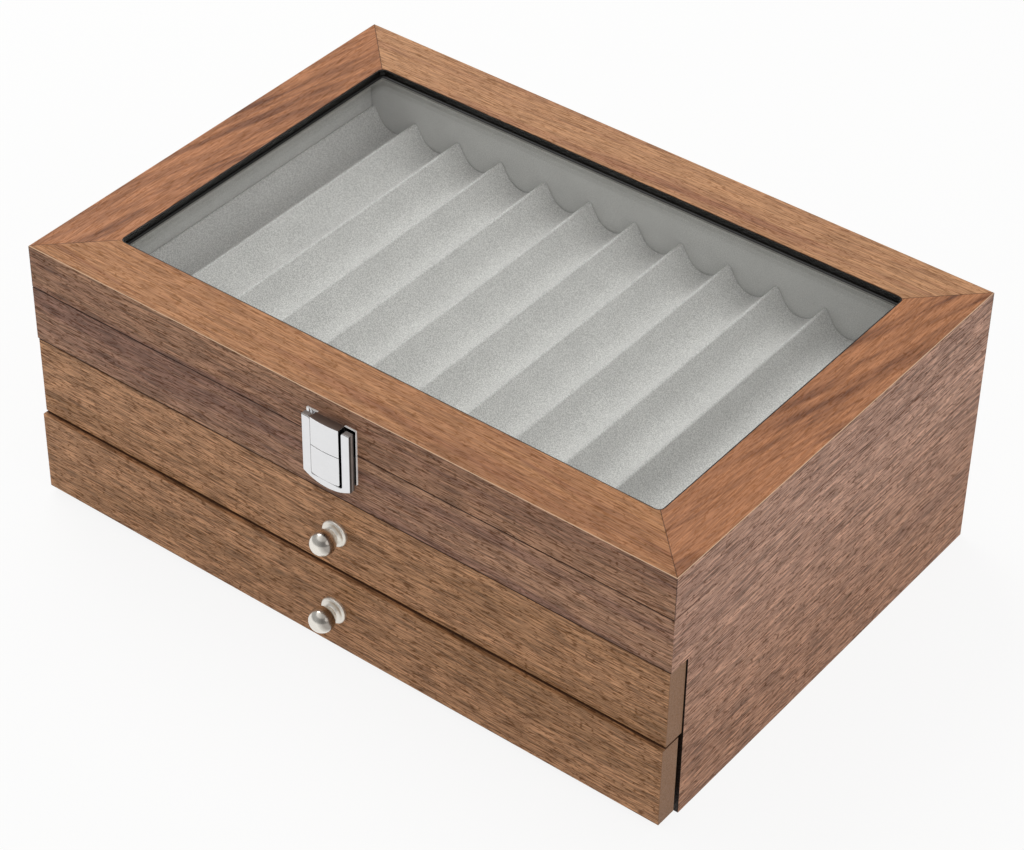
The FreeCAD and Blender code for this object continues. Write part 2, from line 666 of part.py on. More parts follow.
def makeHinges():
    y = back - leafSetback - leafDepth / 2
    for side in (-1, 1):
        makeLeaf("hinge_leaf_lower_" + sideName(side), side, False)
        makeLeaf("hinge_leaf_upper_" + sideName(side), side, True)
        makeHingePin(side)
    xs = [hingeSpread * side + hingeScrewPitch / 2 * end for side in (-1, 1) for end in (-1, 1)]
    makeScrews("hinge_screws_lower", hingeScrewRadius, hingeHeadRadius, hingeHeadThick,
               hingeScrewLength, [(x, y, rim) for x in xs], "-Z")
    makeScrews("hinge_screws_upper", hingeScrewRadius, hingeHeadRadius, hingeHeadThick,
               hingeScrewLength, [(x, y, lidBottom) for x in xs], "+Z")


# The press latch. The case is a U whose cheeks rise beside the lid's tongue; a sprung button
# fills the lower half of the slot, and its flange behind the front wall keeps it in.

slotX = slotWidth / 2
buttonRight = slotX - slotGap
buttonLeft = slotGapLeft - slotX
slotBottom = seam - slotDrop
splitZ = seam - splitDrop
latchBottom = seam - latchDrop
latchX = latchWidth / 2
flangeX = flangeWidth / 2
buttonBottom = slotBottom + slotGapUnder
buttonTop = splitZ - fineGap / 2
flangeFront = latchReach - lipThick
flangeBack = flangeFront - flangeThick
latchScrewX = flangeX + (latchX - flangeX) / 4
latchCaseScrewZ = seam - latchPlateDrop / 2
latchLidScrewZ = seam + latchPlateRise / 2


def frontAt(reach):
    return front - reach


def drawLatchCase(sketch):
    halfChord = latchWidth / 2
    radius = (halfChord * halfChord + latchSag * latchSag) / (latchSag * 2)
    cheekTop = seam + latchRise
    points = [(-latchX, latchBottom), (latchX, latchBottom), (latchX, cheekTop),
              (slotX + cheekCorner, cheekTop), (slotX, cheekTop - cheekCorner),
              (slotX, slotBottom + slotCorner), (slotX - slotCorner, slotBottom),
              (slotCorner - slotX, slotBottom), (-slotX, slotBottom + slotCorner),
              (-slotX, cheekTop - cheekCorner), (-slotX - cheekCorner, cheekTop),
              (-latchX, cheekTop)]
    arcs = {0: (radius, 1), 3: (asSize(cheekCorner), 1), 5: (asSize(slotCorner), -1),
            7: (asSize(slotCorner), -1), 9: (asSize(cheekCorner), 1)}
    drawOutline(sketch, points, arcs)


def makeLatchCase():
    body = makeBody("latch_case")
    addPrism(body, "XZ_Plane", frontAt(latchReach), frontAt(latchStandoff), drawLatchCase)
    roundEdges(body, latchEdge, lambda e: liesAt(e, "Y", frontAt(latchReach)))
    pocketX = flangeX + fineGap
    cutBlock(body, -pocketX, pocketX, frontAt(flangeFront + fineGap / 2), frontAt(latchStandoff),
             buttonBottom + flangeMargin - fineGap, splitZ - flangeMargin + fineGap)
    for side in (-1, 1):
        x0, x1 = span(side, pocketX, latchX - latchEdge)
        addBlock(body, x0, x1, frontAt(latchStandoff), frontAt(latchPlateThick),
                 seam - latchPlateDrop, rim)


def makeLatchPlate():
    body = makeBody("latch_case_plate")
    x = latchPlateWidth / 2
    addBlock(body, -x, x, frontAt(latchPlateThick), front, seam - latchPlateDrop, rim)
    cutPrism(body, "XZ_Plane", frontAt(latchPlateThick), front,
             lambda s: drawLatchScrews(s, latchCaseScrewZ))


def drawLatchScrews(sketch, height):
    for side in (-1, 1):
        drawCircle(sketch, latchScrewX * side, height, latchScrewRadius + screwPlay)


# Tongue and button have one convex front, an arc in plan.
def drawConvex(sketch, backReach):
    halfChord = (buttonRight - buttonLeft) / 2
    radius = (halfChord * halfChord + bulge * bulge) / (bulge * 2)
    points = [(buttonLeft, frontAt(buttonReach)), (buttonRight, frontAt(buttonReach)),
              (buttonRight, frontAt(backReach)), (buttonLeft, frontAt(backReach))]
    drawOutline(sketch, points, {0: (radius, 1)})


def makeLatchButton():
    body = makeBody("latch_button")
    addPrism(body, "XY_Plane", buttonBottom, buttonTop, lambda s: drawConvex(s, flangeBack))
    addBlock(body, -flangeX, flangeX, frontAt(flangeFront), frontAt(flangeBack),
             buttonBottom + flangeMargin, buttonTop - flangeMargin)
    hollow = prongWidth / 2 + fineGap
    cutBlock(body, -hollow, hollow, frontAt(prongBack + prongThick + buttonTravel + fineGap),
             frontAt(flangeBack), buttonTop - prongLength - fineGap, buttonTop)
    springX = springSpan / 2 + fineGap
    cutBlock(body, -springX, springX, frontAt(springReach + buttonTravel + fineGap), frontAt(flangeBack),
             springMiddle - springHeight / 2 - fineGap, springMiddle + springHeight / 2 + fineGap)
    roundEdges(body, asSize(slotCorner), lambda e: (liesAt(e, "X", buttonLeft) or
               liesAt(e, "X", buttonRight)) and liesAt(e, "Z", buttonBottom) and
               e.BoundBox.YMin < frontAt(buttonReach).number + 0.01)


prongBack = latchPlateThick + fineGap
springReach = flangeBack - fineGap
springMiddle = buttonBottom + (buttonTop - buttonBottom) / 3


# The bowed leaf spring is drawn as flat as the pressed button leaves it.
def makeLatchSpring():
    body = makeBody("latch_spring")
    half = springSpan / 2
    rise = springReach - latchPlateThick - springThick
    radius = (half * half + rise * rise) / (rise * 2)
    foot = frontAt(latchPlateThick)
    outer = frontAt(latchPlateThick + springThick)
    points = [(-half, foot), (-half, outer), (half, outer), (half, foot)]
    arcs = {1: (radius, 1), 3: (radius, -1)}
    addPrism(body, "XY_Plane", springMiddle - springHeight / 2, springMiddle + springHeight / 2,
             lambda s: drawOutline(s, points, arcs))


def makeLatchTongue():
    body = makeBody("latch_tongue")
    x = latchPlateWidth / 2
    addBlock(body, -x, x, frontAt(latchPlateThick), front, lidBottom, seam + latchPlateRise)
    addPrism(body, "XY_Plane", lidBottom, seam + tongueRise, lambda s: drawConvex(s, latchPlateThick))
    addPrism(body, "XY_Plane", splitZ + fineGap / 2, lidBottom, lambda s: drawConvex(s, prongBack))
    x = prongWidth / 2
    addBlock(body, -x, x, frontAt(prongBack + prongThick), frontAt(prongBack),
             splitZ - prongLength, splitZ + fineGap / 2)
    cutPrism(body, "XZ_Plane", front - latchPlateThick, front,
             lambda s: drawLatchScrews(s, latchLidScrewZ))


def makeLatchScrews():
    for label, height, face in (("latch_screws_lower", latchCaseScrewZ, -innerY),
                                ("latch_screws_upper", latchLidScrewZ, front + skirtThick)):
        places = [(latchScrewX * side, face, height) for side in (-1, 1)]
        makeScrews(label, latchScrewRadius, latchHeadRadius, latchHeadThick,
                   face - front + latchPlateThick, places, "-Y")


# The drawers: a box of sides, back and a grooved-in bottom behind an overlaid front

boxX = innerX - drawerPlay
drawerLength = innerY - drawerBackGap - (front + frontThick)
trayX = boxX - drawerWall - trayPlay


# A drawer's box runs between the boards under and over it. shift is how far it stands open.
def makeDrawer(prefix, frontBottom, frontTop, boardUnder, boxTop, shift):
    y0 = front + frontThick - shift
    y1 = y0 + drawerLength
    z0 = boardUnder + drawerLift
    z1 = boxTop
    middle = (frontBottom + frontTop) / 2
    bottomZ = z0 + grooveHeight
    makeDrawerFront(prefix, frontBottom, frontTop, y0, middle, bottomZ)
    for side in (-1, 1):
        makeDrawerSide(prefix, side, y0, y1, z0, z1, bottomZ)
    makeDrawerBack(prefix, y1, z0, z1, bottomZ)
    inner = boxX - drawerWall
    makeBoard(prefix + "_drawer_bottom", groovePlay - inner - grooveDepth,
              inner + grooveDepth - groovePlay, y0 - grooveDepth + groovePlay,
              y1 - drawerWall + grooveDepth - groovePlay, bottomZ, bottomZ + bottomThick)
    makeTray(prefix + "_pen_tray", trayX, y0 + trayPlay, y1 - drawerWall - trayPlay,
             bottomZ + bottomThick, drawerChannelCount, asSize(drawerChannelRadius))
    makeKnob(prefix + "_knob", y0 - frontThick, middle)
    makeScrews(prefix + "_knob_screw", knobScrewRadius, knobHeadRadius, knobHeadThick,
               frontThick + knobScrewGrip, [(asSize(0), y0, middle)], "-Y")


def makeDrawerFront(prefix, bottom, height, y0, middle, bottomZ):
    body = makeBody(prefix + "_drawer_front")
    x = right - frontInset
    addBlock(body, -x, x, y0 - frontThick, y0, bottom, height)
    cutPrism(body, "XZ_Plane", y0 - frontThick, y0,
             lambda s: drawCircle(s, 0, middle, knobScrewRadius + screwPlay))
    cutPrism(body, "XZ_Plane", y0 - knobHeadThick - screwPlay, y0,
             lambda s: drawCircle(s, 0, middle, knobHeadRadius + screwPlay))
    grooveX = boxX - drawerWall + grooveDepth
    cutBlock(body, -grooveX, grooveX, y0 - grooveDepth, y0, bottomZ, bottomZ + bottomThick)
    roundEdges(body, arrisRadius, lambda e: liesAt(e, "Y", y0 - frontThick) and
               e.BoundBox.DiagonalLength > 3 * knobHeadRadius.number)


def makeDrawerSide(prefix, side, y0, y1, z0, z1, bottomZ):
    body = makeBody(prefix + "_drawer_side_" + sideName(side))
    addBlock(body, *span(side, boxX - drawerWall, boxX), y0, y1, z0, z1)
    cutBlock(body, *span(side, boxX - drawerWall, boxX - drawerWall + grooveDepth), y0,
             y1 - drawerWall + grooveDepth, bottomZ, bottomZ + bottomThick)
    roundEdges(body, arrisRadius, lambda e: liesAt(e, "Z", z1) and
               (liesAt(e, "X", boxX * side) or liesAt(e, "X", (boxX - drawerWall) * side)))


def makeDrawerBack(prefix, y1, z0, z1, bottomZ):
    body = makeBody(prefix + "_drawer_back")
    x = boxX - drawerWall
    addBlock(body, -x, x, y1 - drawerWall, y1, z0, z1)
    cutBlock(body, -x, x, y1 - drawerWall, y1 - drawerWall + grooveDepth, bottomZ,
             bottomZ + bottomThick)
    roundEdges(body, arrisRadius, lambda e: liesAt(e, "Z", z1) and
               (liesAt(e, "Y", y1) or liesAt(e, "Y", y1 - drawerWall)))


# A knob is turned in one piece: round foot, flare, neck and ball, with a hole for its screw.
def makeKnob(label, face, height):
    body = makeBody(label)
    sketch = makeSketch(body, "XY_Plane", height)
    bore = knobScrewRadius + screwPlay
    rimY = face - rosetteRim
    shoulder = rosetteRadius - (rosetteThick - rosetteRim)
    shoulderY = face - rosetteThick
    neckY = face - neckStart
    ballY = face - ballReach
    neckEnd = ballY + root(ballRadius * ballRadius - neckRadius * neckRadius)
    grip = face - knobScrewGrip - screwPlay
    points = [(bore, face), (rosetteRadius, face), (rosetteRadius, rimY), (shoulder, shoulderY),
              (neckRadius, neckY), (neckRadius, neckEnd), (asSize(0), ballY - ballRadius),
              (asSize(0), grip), (bore, grip)]
    flare = shoulder - neckRadius
    arcs = {2: (rosetteThick - rosetteRim, -1), 3: (flare * 1.2, 1), 5: (asSize(ballRadius), -1)}
    drawOutline(sketch, points, arcs)
    turned = body.newObject("PartDesign::Revolution", label + "_turned")
    turned.Profile = sketch
    turned.ReferenceAxis = (sketch, ["V_Axis"])
    turned.Angle = 360


def writeParts():
    doc.recompute()
    for item in doc.Objects:
        if "Invalid" in item.State or "Error" in item.State:
            raise RuntimeError("%s is %s" % (item.Label, item.State))
    for base, cut in cuts:
        if cut.Shape.Volume > base.Shape.Volume - 1e-3:
            raise RuntimeError(cut.Label + " cuts nothing")
    os.makedirs("parts", exist_ok=True)
    for node in nodes:
        shape = node.Shape
        if shape.isNull() or not shape.isValid() or not shape.Solids:
            raise RuntimeError(node.Label + " has no valid shape")
        shape.exportStep("parts/%s.step" % node.Label)
    print(len(nodes), "parts written")


makeSidePanel(-1)
makeSidePanel(1)
makeBackPanel()
makeFrontRail()
makeCaseBoards()
makeLining()
makeTray("top_pen_tray", liningX - trayPlay, trayPlay - liningY, liningY - trayPlay, floorTop,
         channelCount, asSize(channelRadius))
makeLidRails()
makeGlazing()
makeHinges()
makeLatchPlate()
makeLatchCase()
makeLatchSpring()
makeLatchButton()
makeLatchTongue()
makeLatchScrews()
makeDrawer("upper", upperFrontBottom, upperFrontTop, dividerTop, floorBottom - upperHeadroom,
           asSize(0))
makeDrawer("lower", asSize(plinthGap), lowerFrontTop, baseTop, dividerBottom - lowerHeadroom,
           asSize(ajar))
writeParts()
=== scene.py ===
import math

import bmesh
import bpy
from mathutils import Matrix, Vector


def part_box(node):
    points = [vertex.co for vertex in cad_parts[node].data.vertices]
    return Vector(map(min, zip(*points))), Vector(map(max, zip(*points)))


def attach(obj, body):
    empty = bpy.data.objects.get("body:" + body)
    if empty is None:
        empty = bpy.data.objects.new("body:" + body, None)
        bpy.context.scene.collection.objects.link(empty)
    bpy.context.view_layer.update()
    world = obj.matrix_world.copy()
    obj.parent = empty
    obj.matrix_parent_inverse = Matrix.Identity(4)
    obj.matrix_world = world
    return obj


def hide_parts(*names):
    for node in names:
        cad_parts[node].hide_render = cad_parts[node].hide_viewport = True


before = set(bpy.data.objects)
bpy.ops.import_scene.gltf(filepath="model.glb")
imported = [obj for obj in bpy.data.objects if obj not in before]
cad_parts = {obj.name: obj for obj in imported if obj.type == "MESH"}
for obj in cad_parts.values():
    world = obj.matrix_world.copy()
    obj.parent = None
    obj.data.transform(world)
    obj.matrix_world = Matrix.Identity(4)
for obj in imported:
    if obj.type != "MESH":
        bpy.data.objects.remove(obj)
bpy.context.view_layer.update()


# Camera, lamps, floor and world

# Place in metres, turn in degrees, lens and sensor in millimetres.
def makeCamera():
    camera = {"place": (0.6156, -0.8085, 0.8741), "turn": (50.904, -0.790, 37.777), "lens": 107.3,
              "sensor": 36, "near": 0.05, "far": 50}
    bpy.ops.object.camera_add(location=camera["place"],
                              rotation=[math.radians(angle) for angle in camera["turn"]])
    view = bpy.context.object
    view.data.lens = camera["lens"]
    view.data.sensor_width = camera["sensor"]
    view.data.clip_start = camera["near"]
    view.data.clip_end = camera["far"]
    bpy.context.scene.camera = view
    bpy.context.scene.view_settings.view_transform = "Standard"


def hexColor(text):
    channels = [int(text[i:i + 2], 16) / 255 for i in (1, 3, 5)]
    return [c / 12.92 if c <= 0.04045 else ((c + 0.055) / 1.055) ** 2.4 for c in channels] + [1.0]


# One node with its inputs, each a value or a socket to link, and its settings.
def addNode(tree, kind, inputs=None, **settings):
    node = tree.nodes.new("ShaderNode" + kind)
    for name, value in settings.items():
        setattr(node, name, value)
    for name, value in (inputs or {}).items():
        if isinstance(value, bpy.types.NodeSocket):
            tree.links.new(value, node.inputs[name])
        else:
            node.inputs[name].default_value = value
    return node


# Turns a value between fromLow and fromHigh into one between low and high.
def mapRange(tree, value, low, high, fromLow, fromHigh):
    node = addNode(tree, "MapRange", {"Value": value, "From Min": fromLow, "From Max": fromHigh,
                                      "To Min": low, "To Max": high})
    return node.outputs["Result"]


def mathNode(tree, operation, *values):
    return addNode(tree, "Math", dict(enumerate(values)), operation=operation).outputs[0]


def mixColors(tree, factor, first, second, blend="MIX"):
    node = addNode(tree, "Mix", {0: factor, 6: first, 7: second}, data_type="RGBA", blend_type=blend)
    return node.outputs[2]


def scaleColor(tree, color, amount):
    return addNode(tree, "VectorMath", {0: color, "Scale": amount}, operation="SCALE").outputs[0]


# One axis of a place, or of the way a face is turned.
def axisOf(tree, vector, axis):
    return addNode(tree, "SeparateXYZ", {0: vector}).outputs[axis]


# Whether the value is over the limit, or under it, and whether all of several tests hold.
def above(tree, value, limit):
    return mathNode(tree, "GREATER_THAN", value, limit)


def below(tree, value, limit):
    return mathNode(tree, "LESS_THAN", value, limit)


def allOf(tree, *tests):
    found = tests[0]
    for test in tests[1:]:
        found = mathNode(tree, "MULTIPLY", found, test)
    return found


def newMaterial(name):
    material = bpy.data.materials.new(name)
    material.use_nodes = True
    material.node_tree.nodes.clear()
    return material, material.node_tree


# A soft round lamp that looks at the middle of the chest.
def makeLamp(name, lamp):
    bpy.ops.object.light_add(type="AREA", location=lamp["place"])
    light = bpy.context.object
    light.name = name
    aim = Vector((0, 0, 0.05)) - Vector(lamp["place"])
    light.rotation_euler = aim.to_track_quat("-Z", "Y").to_euler()
    light.data.shape = "DISK"
    light.data.size = lamp["size"]
    light.data.energy = lamp["energy"]


# The sky lights everything evenly. Mirrors see it brighter, with a dim band between the floor and
# the ceiling, given by the heights where it starts and ends.
def makeStudio():
    studio = {"skyLight": 0.62, "dimWall": 0.4, "wallFoot": (0.0, 0.12), "wallTop": (0.62, 0.80),
              "floorSize": 30.0, "floorWhite": "#F4F4F2", "floorLevel": -0.0002, "paperGlow": 0.88}
    keyLamp = {"place": (-0.9, 0.35, 1.5), "size": 1.1, "energy": 11.0}
    sideLamp = {"place": (1.5, -0.2, 0.9), "size": 1.0, "energy": 3.0}
    world = bpy.data.worlds.new("studioSky")
    world.use_nodes = True
    bpy.context.scene.world = world
    tree = world.node_tree
    tree.nodes.clear()
    path = addNode(tree, "LightPath")
    seen = mathNode(tree, "MAXIMUM", path.outputs["Is Camera Ray"], path.outputs["Is Glossy Ray"])
    seen = mathNode(tree, "MAXIMUM", seen, path.outputs["Is Transmission Ray"])
    strength = addNode(tree, "Mix", {0: seen, 2: studio["skyLight"], 3: 1.0})
    height = addNode(tree, "SeparateXYZ", {0: addNode(tree, "TexCoord").outputs["Generated"]})
    low = mapRange(tree, height.outputs["Z"], 1.0, studio["dimWall"], *studio["wallFoot"])
    high = mapRange(tree, height.outputs["Z"], 0.0, 1.0, *studio["wallTop"])
    wall = mathNode(tree, "MAXIMUM", low, high)
    strength = addNode(tree, "Mix", {0: path.outputs["Is Glossy Ray"], 2: strength.outputs[0], 3: wall})
    sky = addNode(tree, "Background", {"Color": (1, 1, 1, 1), "Strength": strength.outputs[0]})
    addNode(tree, "OutputWorld", {"Surface": sky.outputs[0]})

    makeLamp("keyLamp", keyLamp)
    makeLamp("sideLamp", sideLamp)

    bpy.ops.mesh.primitive_plane_add(size=studio["floorSize"], location=(0, 0, studio["floorLevel"]))
    floor = bpy.context.object
    floor.name = "studioFloor"
    material, tree = newMaterial("matt white paper")
    path = addNode(tree, "LightPath")
    seen = mathNode(tree, "MAXIMUM", path.outputs["Is Camera Ray"], path.outputs["Is Glossy Ray"])
    seen = mathNode(tree, "MULTIPLY", seen, studio["paperGlow"])
    paper = addNode(tree, "BsdfDiffuse", {"Color": hexColor(studio["floorWhite"])})
    white = addNode(tree, "Emission", {"Color": (1, 1, 1, 1), "Strength": 1.0})
    both = addNode(tree, "MixShader", {0: seen, 1: paper.outputs[0], 2: white.outputs[0]})
    addNode(tree, "OutputMaterial", {"Surface": both.outputs[0]})
    floor.data.materials.append(material)


makeCamera()
makeStudio()
print("camera and studio ready")


# Walnut veneer, sanded and lacquered to a satin: the eye sees short dark pores along the grain,
# soft darker streaks that run a little across it, and a dull sheen.

# Noise whose grains are so many millimetres long and wide.
def grainNoise(tree, point, length, width, detail=0.0, roughness=0.5, distortion=0.0):
    stretch = (1000 / length, 1000 / width, 1000 / width)
    stretched = addNode(tree, "VectorMath", {0: point, 1: stretch}, operation="MULTIPLY")
    noise = addNode(tree, "TexNoise", {"Vector": stretched.outputs[0], "Scale": 1.0, "Detail": detail,
                                       "Roughness": roughness, "Distortion": distortion})
    return noise.outputs["Fac"]


# Sizes of the grain in millimetres, length then width. Pores are drawn wider than real ones, so
# that they show.
grain = {"longPore": (12.0, 0.85), "shortPore": (6.0, 0.75), "gap": (4.0, 0.9),
         "fibre": (14.0, 0.6), "figure": (60.0, 2.6), "streak": (190.0, 12.0), "wander": 1.6}
# How strong the grain is, and the veneer's edges and joints, in metres.
veneer = {"tone": (-0.44, 0.46), "poreDepth": 0.62, "poreWidth": 0.07, "gloss": 0.5,
          "seamHalf": (0.0002, 0.0005), "mitreFoot": 0.053, "mitreHalf": (0.0001, 0.0004),
          "arrisNormal": 0.68, "lowFrom": (0.02, 0.10)}
# Browns of the pores and the mitre joints. The seam and edge browns are painted shade, for the gaps at
# the front rail's edges and above the drawer fronts; the pale of the arrises is partly worn veneer and
# partly a painted highlight.
brown = {"pore": "#48240F", "seam": "#38211A", "edge": "#5C3E2C", "mitre": "#3B2519",
         "wornAndLit": "#EBC8A6"}


# Pores are thin dark lines along the grain, broken into dashes.
def poreLines(tree, point, kind):
    width = veneer["poreWidth"]
    value = mathNode(tree, "SUBTRACT", grainNoise(tree, point, *grain[kind]), 0.5)
    line = mapRange(tree, mathNode(tree, "ABSOLUTE", value), 1.0, 0.0, width * 0.3, width)
    dash = mapRange(tree, grainNoise(tree, point, *grain["gap"]), 0.25, 1.0, 0.38, 0.52)
    return mathNode(tree, "MULTIPLY", line, dash)


# One leaf of veneer: pale and deep are the colours between streaks and in them. Tilt is the angle
# at which its streaks cross the length of the piece.
def leafColor(tree, point, leaf):
    tilt = [math.radians(angle) for angle in leaf["tilt"]]
    tilted = addNode(tree, "Mapping", {"Vector": point, "Rotation": tilt}).outputs[0]
    streak = grainNoise(tree, tilted, *leaf.get("streak", grain["streak"]), 2.0, 0.5, 0.4)
    streak = mapRange(tree, streak, 0.0, 1.0, *leaf["edge"])
    figure = grainNoise(tree, tilted, *grain["figure"], 3.0, 0.6)
    figure = mapRange(tree, figure, *leaf.get("figure", (-0.25, 0.45)), 0.35, 0.68)
    amount = addNode(tree, "Math", {0: streak, 1: figure}, operation="ADD", use_clamp=True).outputs[0]
    return mixColors(tree, amount, hexColor(leaf["pale"]), hexColor(leaf["deep"]))


# Upright is the leaf on standing faces, flat the one on top, and both follow the grain's direction,
# along X or Y. Caps are faces of other colours, each given by the way it faces: sanded end grain,
# and edges painted near-black as painted shade of the gaps beside them. Shut is the depth behind
# which a drawer front's top edge is painted dark brown, as painted shade of the gap above it. Seams
# are the heights of the edges that show as dark lines: painted shade of the gaps along them. The
# colour given for the lower part is a painted shade, multiplied over it so that it turns darker and
# warmer towards the bottom.
def makeVeneer(name, along, upright, flat=None, caps=(), shut=None, seams=(), lowShade=None,
               mitred=False):
    material, tree = newMaterial(name)
    place = addNode(tree, "TexCoord")
    turned = addNode(tree, "Mapping", {"Vector": place.outputs["Object"],
                                       "Rotation": (0, 0, 0 if along == "X" else math.pi / 2)})
    wander = addNode(tree, "TexNoise", {"Vector": turned.outputs[0], "Scale": 14.0, "Detail": 1.0})
    offset = addNode(tree, "VectorMath", {0: wander.outputs["Color"], 1: (0.5, 0.5, 0.5)},
                     operation="SUBTRACT")
    reach = grain["wander"] / 500
    offset = addNode(tree, "VectorMath", {0: offset.outputs[0], 1: (0.0, reach, reach)},
                     operation="MULTIPLY")
    point = addNode(tree, "VectorMath", {0: turned.outputs[0], 1: offset.outputs[0]},
                    operation="ADD").outputs[0]
    color = leafColor(tree, point, upright)
    contrast = 1.0
    if flat:
        up = mapRange(tree, axisOf(tree, place.outputs["Normal"], "Z"), 0.0, 1.0, 0.55, 0.75)
        color = mixColors(tree, up, color, leafColor(tree, point, flat))
        contrast = mapRange(tree, up, 1.0, flat.get("contrast", 0.6), 0.0, 1.0)
    apart = addNode(tree, "Mapping", {"Vector": point, "Location": (0.3, 0.2, 0.1)}).outputs[0]
    pore = mathNode(tree, "MAXIMUM", poreLines(tree, point, "longPore"),
                    poreLines(tree, apart, "shortPore"))
    fibre = grainNoise(tree, point, *upright.get("fibre", grain["fibre"]), 0.5, 0.5)
    tone = mathNode(tree, "MULTIPLY", mapRange(tree, fibre, *veneer["tone"], 0.30, 0.70), contrast)
    shade = scaleColor(tree, color, mathNode(tree, "ADD", tone, 1.0))
    deepness = mathNode(tree, "MULTIPLY", mathNode(tree, "MULTIPLY", pore, veneer["poreDepth"]),
                        contrast)
    shade = mixColors(tree, deepness, shade, hexColor(brown["pore"]))
    for facing, capColor in caps:
        turn = addNode(tree, "VectorMath", {0: place.outputs["Normal"], 1: facing},
                       operation="DOT_PRODUCT").outputs["Value"]
        plain = scaleColor(tree, hexColor(capColor)[:3], mapRange(tree, fibre, 0.92, 1.08, 0.3, 0.7))
        shade = mixColors(tree, mapRange(tree, turn, 0.0, 1.0, 0.55, 0.75), shade, plain)
    # Painted shade: a dark line along each given edge height, for the gap beside it.
    for height in seams:
        far = mathNode(tree, "SUBTRACT", axisOf(tree, place.outputs["Object"], "Z"), height)
        far = mathNode(tree, "ABSOLUTE", far)
        shade = mixColors(tree, mapRange(tree, far, 0.8, 0.0, *veneer["seamHalf"]), shade,
                          hexColor(brown["seam"]))
    # Painted shade: the lower part is multiplied by the given colour, darker and warmer towards the
    # bottom.
    if lowShade:
        low = axisOf(tree, place.outputs["Object"], "Z")
        low = mapRange(tree, low, 1.0, 0.0, *veneer["lowFrom"])
        shade = mixColors(tree, low, shade, hexColor(lowShade), "MULTIPLY")
    # Painted shade: up-facing faces behind the given depth, a drawer front's top inside the gap, are
    # painted dark brown.
    if shut:
        edge = allOf(tree, above(tree, axisOf(tree, place.outputs["Object"], "Y"), shut),
                     above(tree, axisOf(tree, place.outputs["Normal"], "Z"), 0.8))
        shade = mixColors(tree, edge, shade, hexColor(brown["edge"]))
    if mitred:
        x = mathNode(tree, "ABSOLUTE", axisOf(tree, place.outputs["Object"], "X"))
        y = mathNode(tree, "ABSOLUTE", axisOf(tree, place.outputs["Object"], "Y"))
        rise = axisOf(tree, place.outputs["Normal"], "Z")
        gap = mathNode(tree, "SUBTRACT", mathNode(tree, "SUBTRACT", x, y), veneer["mitreFoot"])
        line = mapRange(tree, mathNode(tree, "ABSOLUTE", gap), 0.75, 0.0, *veneer["mitreHalf"])
        shade = mixColors(tree, line, shade, hexColor(brown["mitre"]))
        # Along the rounded arrises, whose faces turn half up, the veneer is paler: partly worn edges,
        # partly a painted highlight.
        rounded = mathNode(tree, "ABSOLUTE", mathNode(tree, "SUBTRACT", rise, veneer["arrisNormal"]))
        wornAndLit = mapRange(tree, rounded, 0.85, 0.0, 0.20, 0.30)
        shade = mixColors(tree, wornAndLit, shade, hexColor(brown["wornAndLit"]))
    relief = addNode(tree, "Bump", {"Strength": 0.15, "Distance": 0.0002, "Height": pore}, invert=True)
    rough = mapRange(tree, fibre, veneer["gloss"] + 0.06, veneer["gloss"] - 0.04, 0.3, 0.7)
    sheen = mapRange(tree, pore, 0.3, 0.05, 0.0, 1.0)
    wood = addNode(tree, "BsdfPrincipled", {"Base Color": shade, "Roughness": rough,
                                            "Specular IOR Level": sheen, "Normal": relief.outputs[0]})
    addNode(tree, "OutputMaterial", {"Surface": wood.outputs[0]})
    return material


# Flocked velvet: short fibres stood on end, matt, with a soft sheen at grazing angles and a fine
# speckle where they lean different ways. Size is the speckle's, in millimetres, drawn as coarse as
# it needs to be to show.
def makeVelvet(name, color, speckle, size):
    material, tree = newMaterial(name)
    place = addNode(tree, "TexCoord").outputs["Object"]
    lean = addNode(tree, "TexNoise", {"Vector": place, "Scale": 1000 / size, "Detail": 0.5,
                                      "Roughness": 0.6}).outputs["Fac"]
    patch = addNode(tree, "TexNoise", {"Vector": place, "Scale": 60.0, "Detail": 2.0}).outputs["Fac"]
    tone = mapRange(tree, lean, 1 - speckle, 1 + speckle, 0.35, 0.65)
    tone = mathNode(tree, "MULTIPLY", tone, mapRange(tree, patch, 0.97, 1.03, 0.35, 0.65))
    pile = scaleColor(tree, hexColor(color)[:3], tone)
    relief = addNode(tree, "Bump", {"Strength": 0.3, "Distance": 0.0003, "Height": lean})
    cloth = addNode(tree, "BsdfPrincipled", {"Base Color": pile, "Roughness": 0.95,
                                             "Sheen Weight": 0.3, "Sheen Roughness": 0.5,
                                             "Specular IOR Level": 0.15, "Normal": relief.outputs[0]})
    addNode(tree, "OutputMaterial", {"Surface": cloth.outputs[0]})
    return material


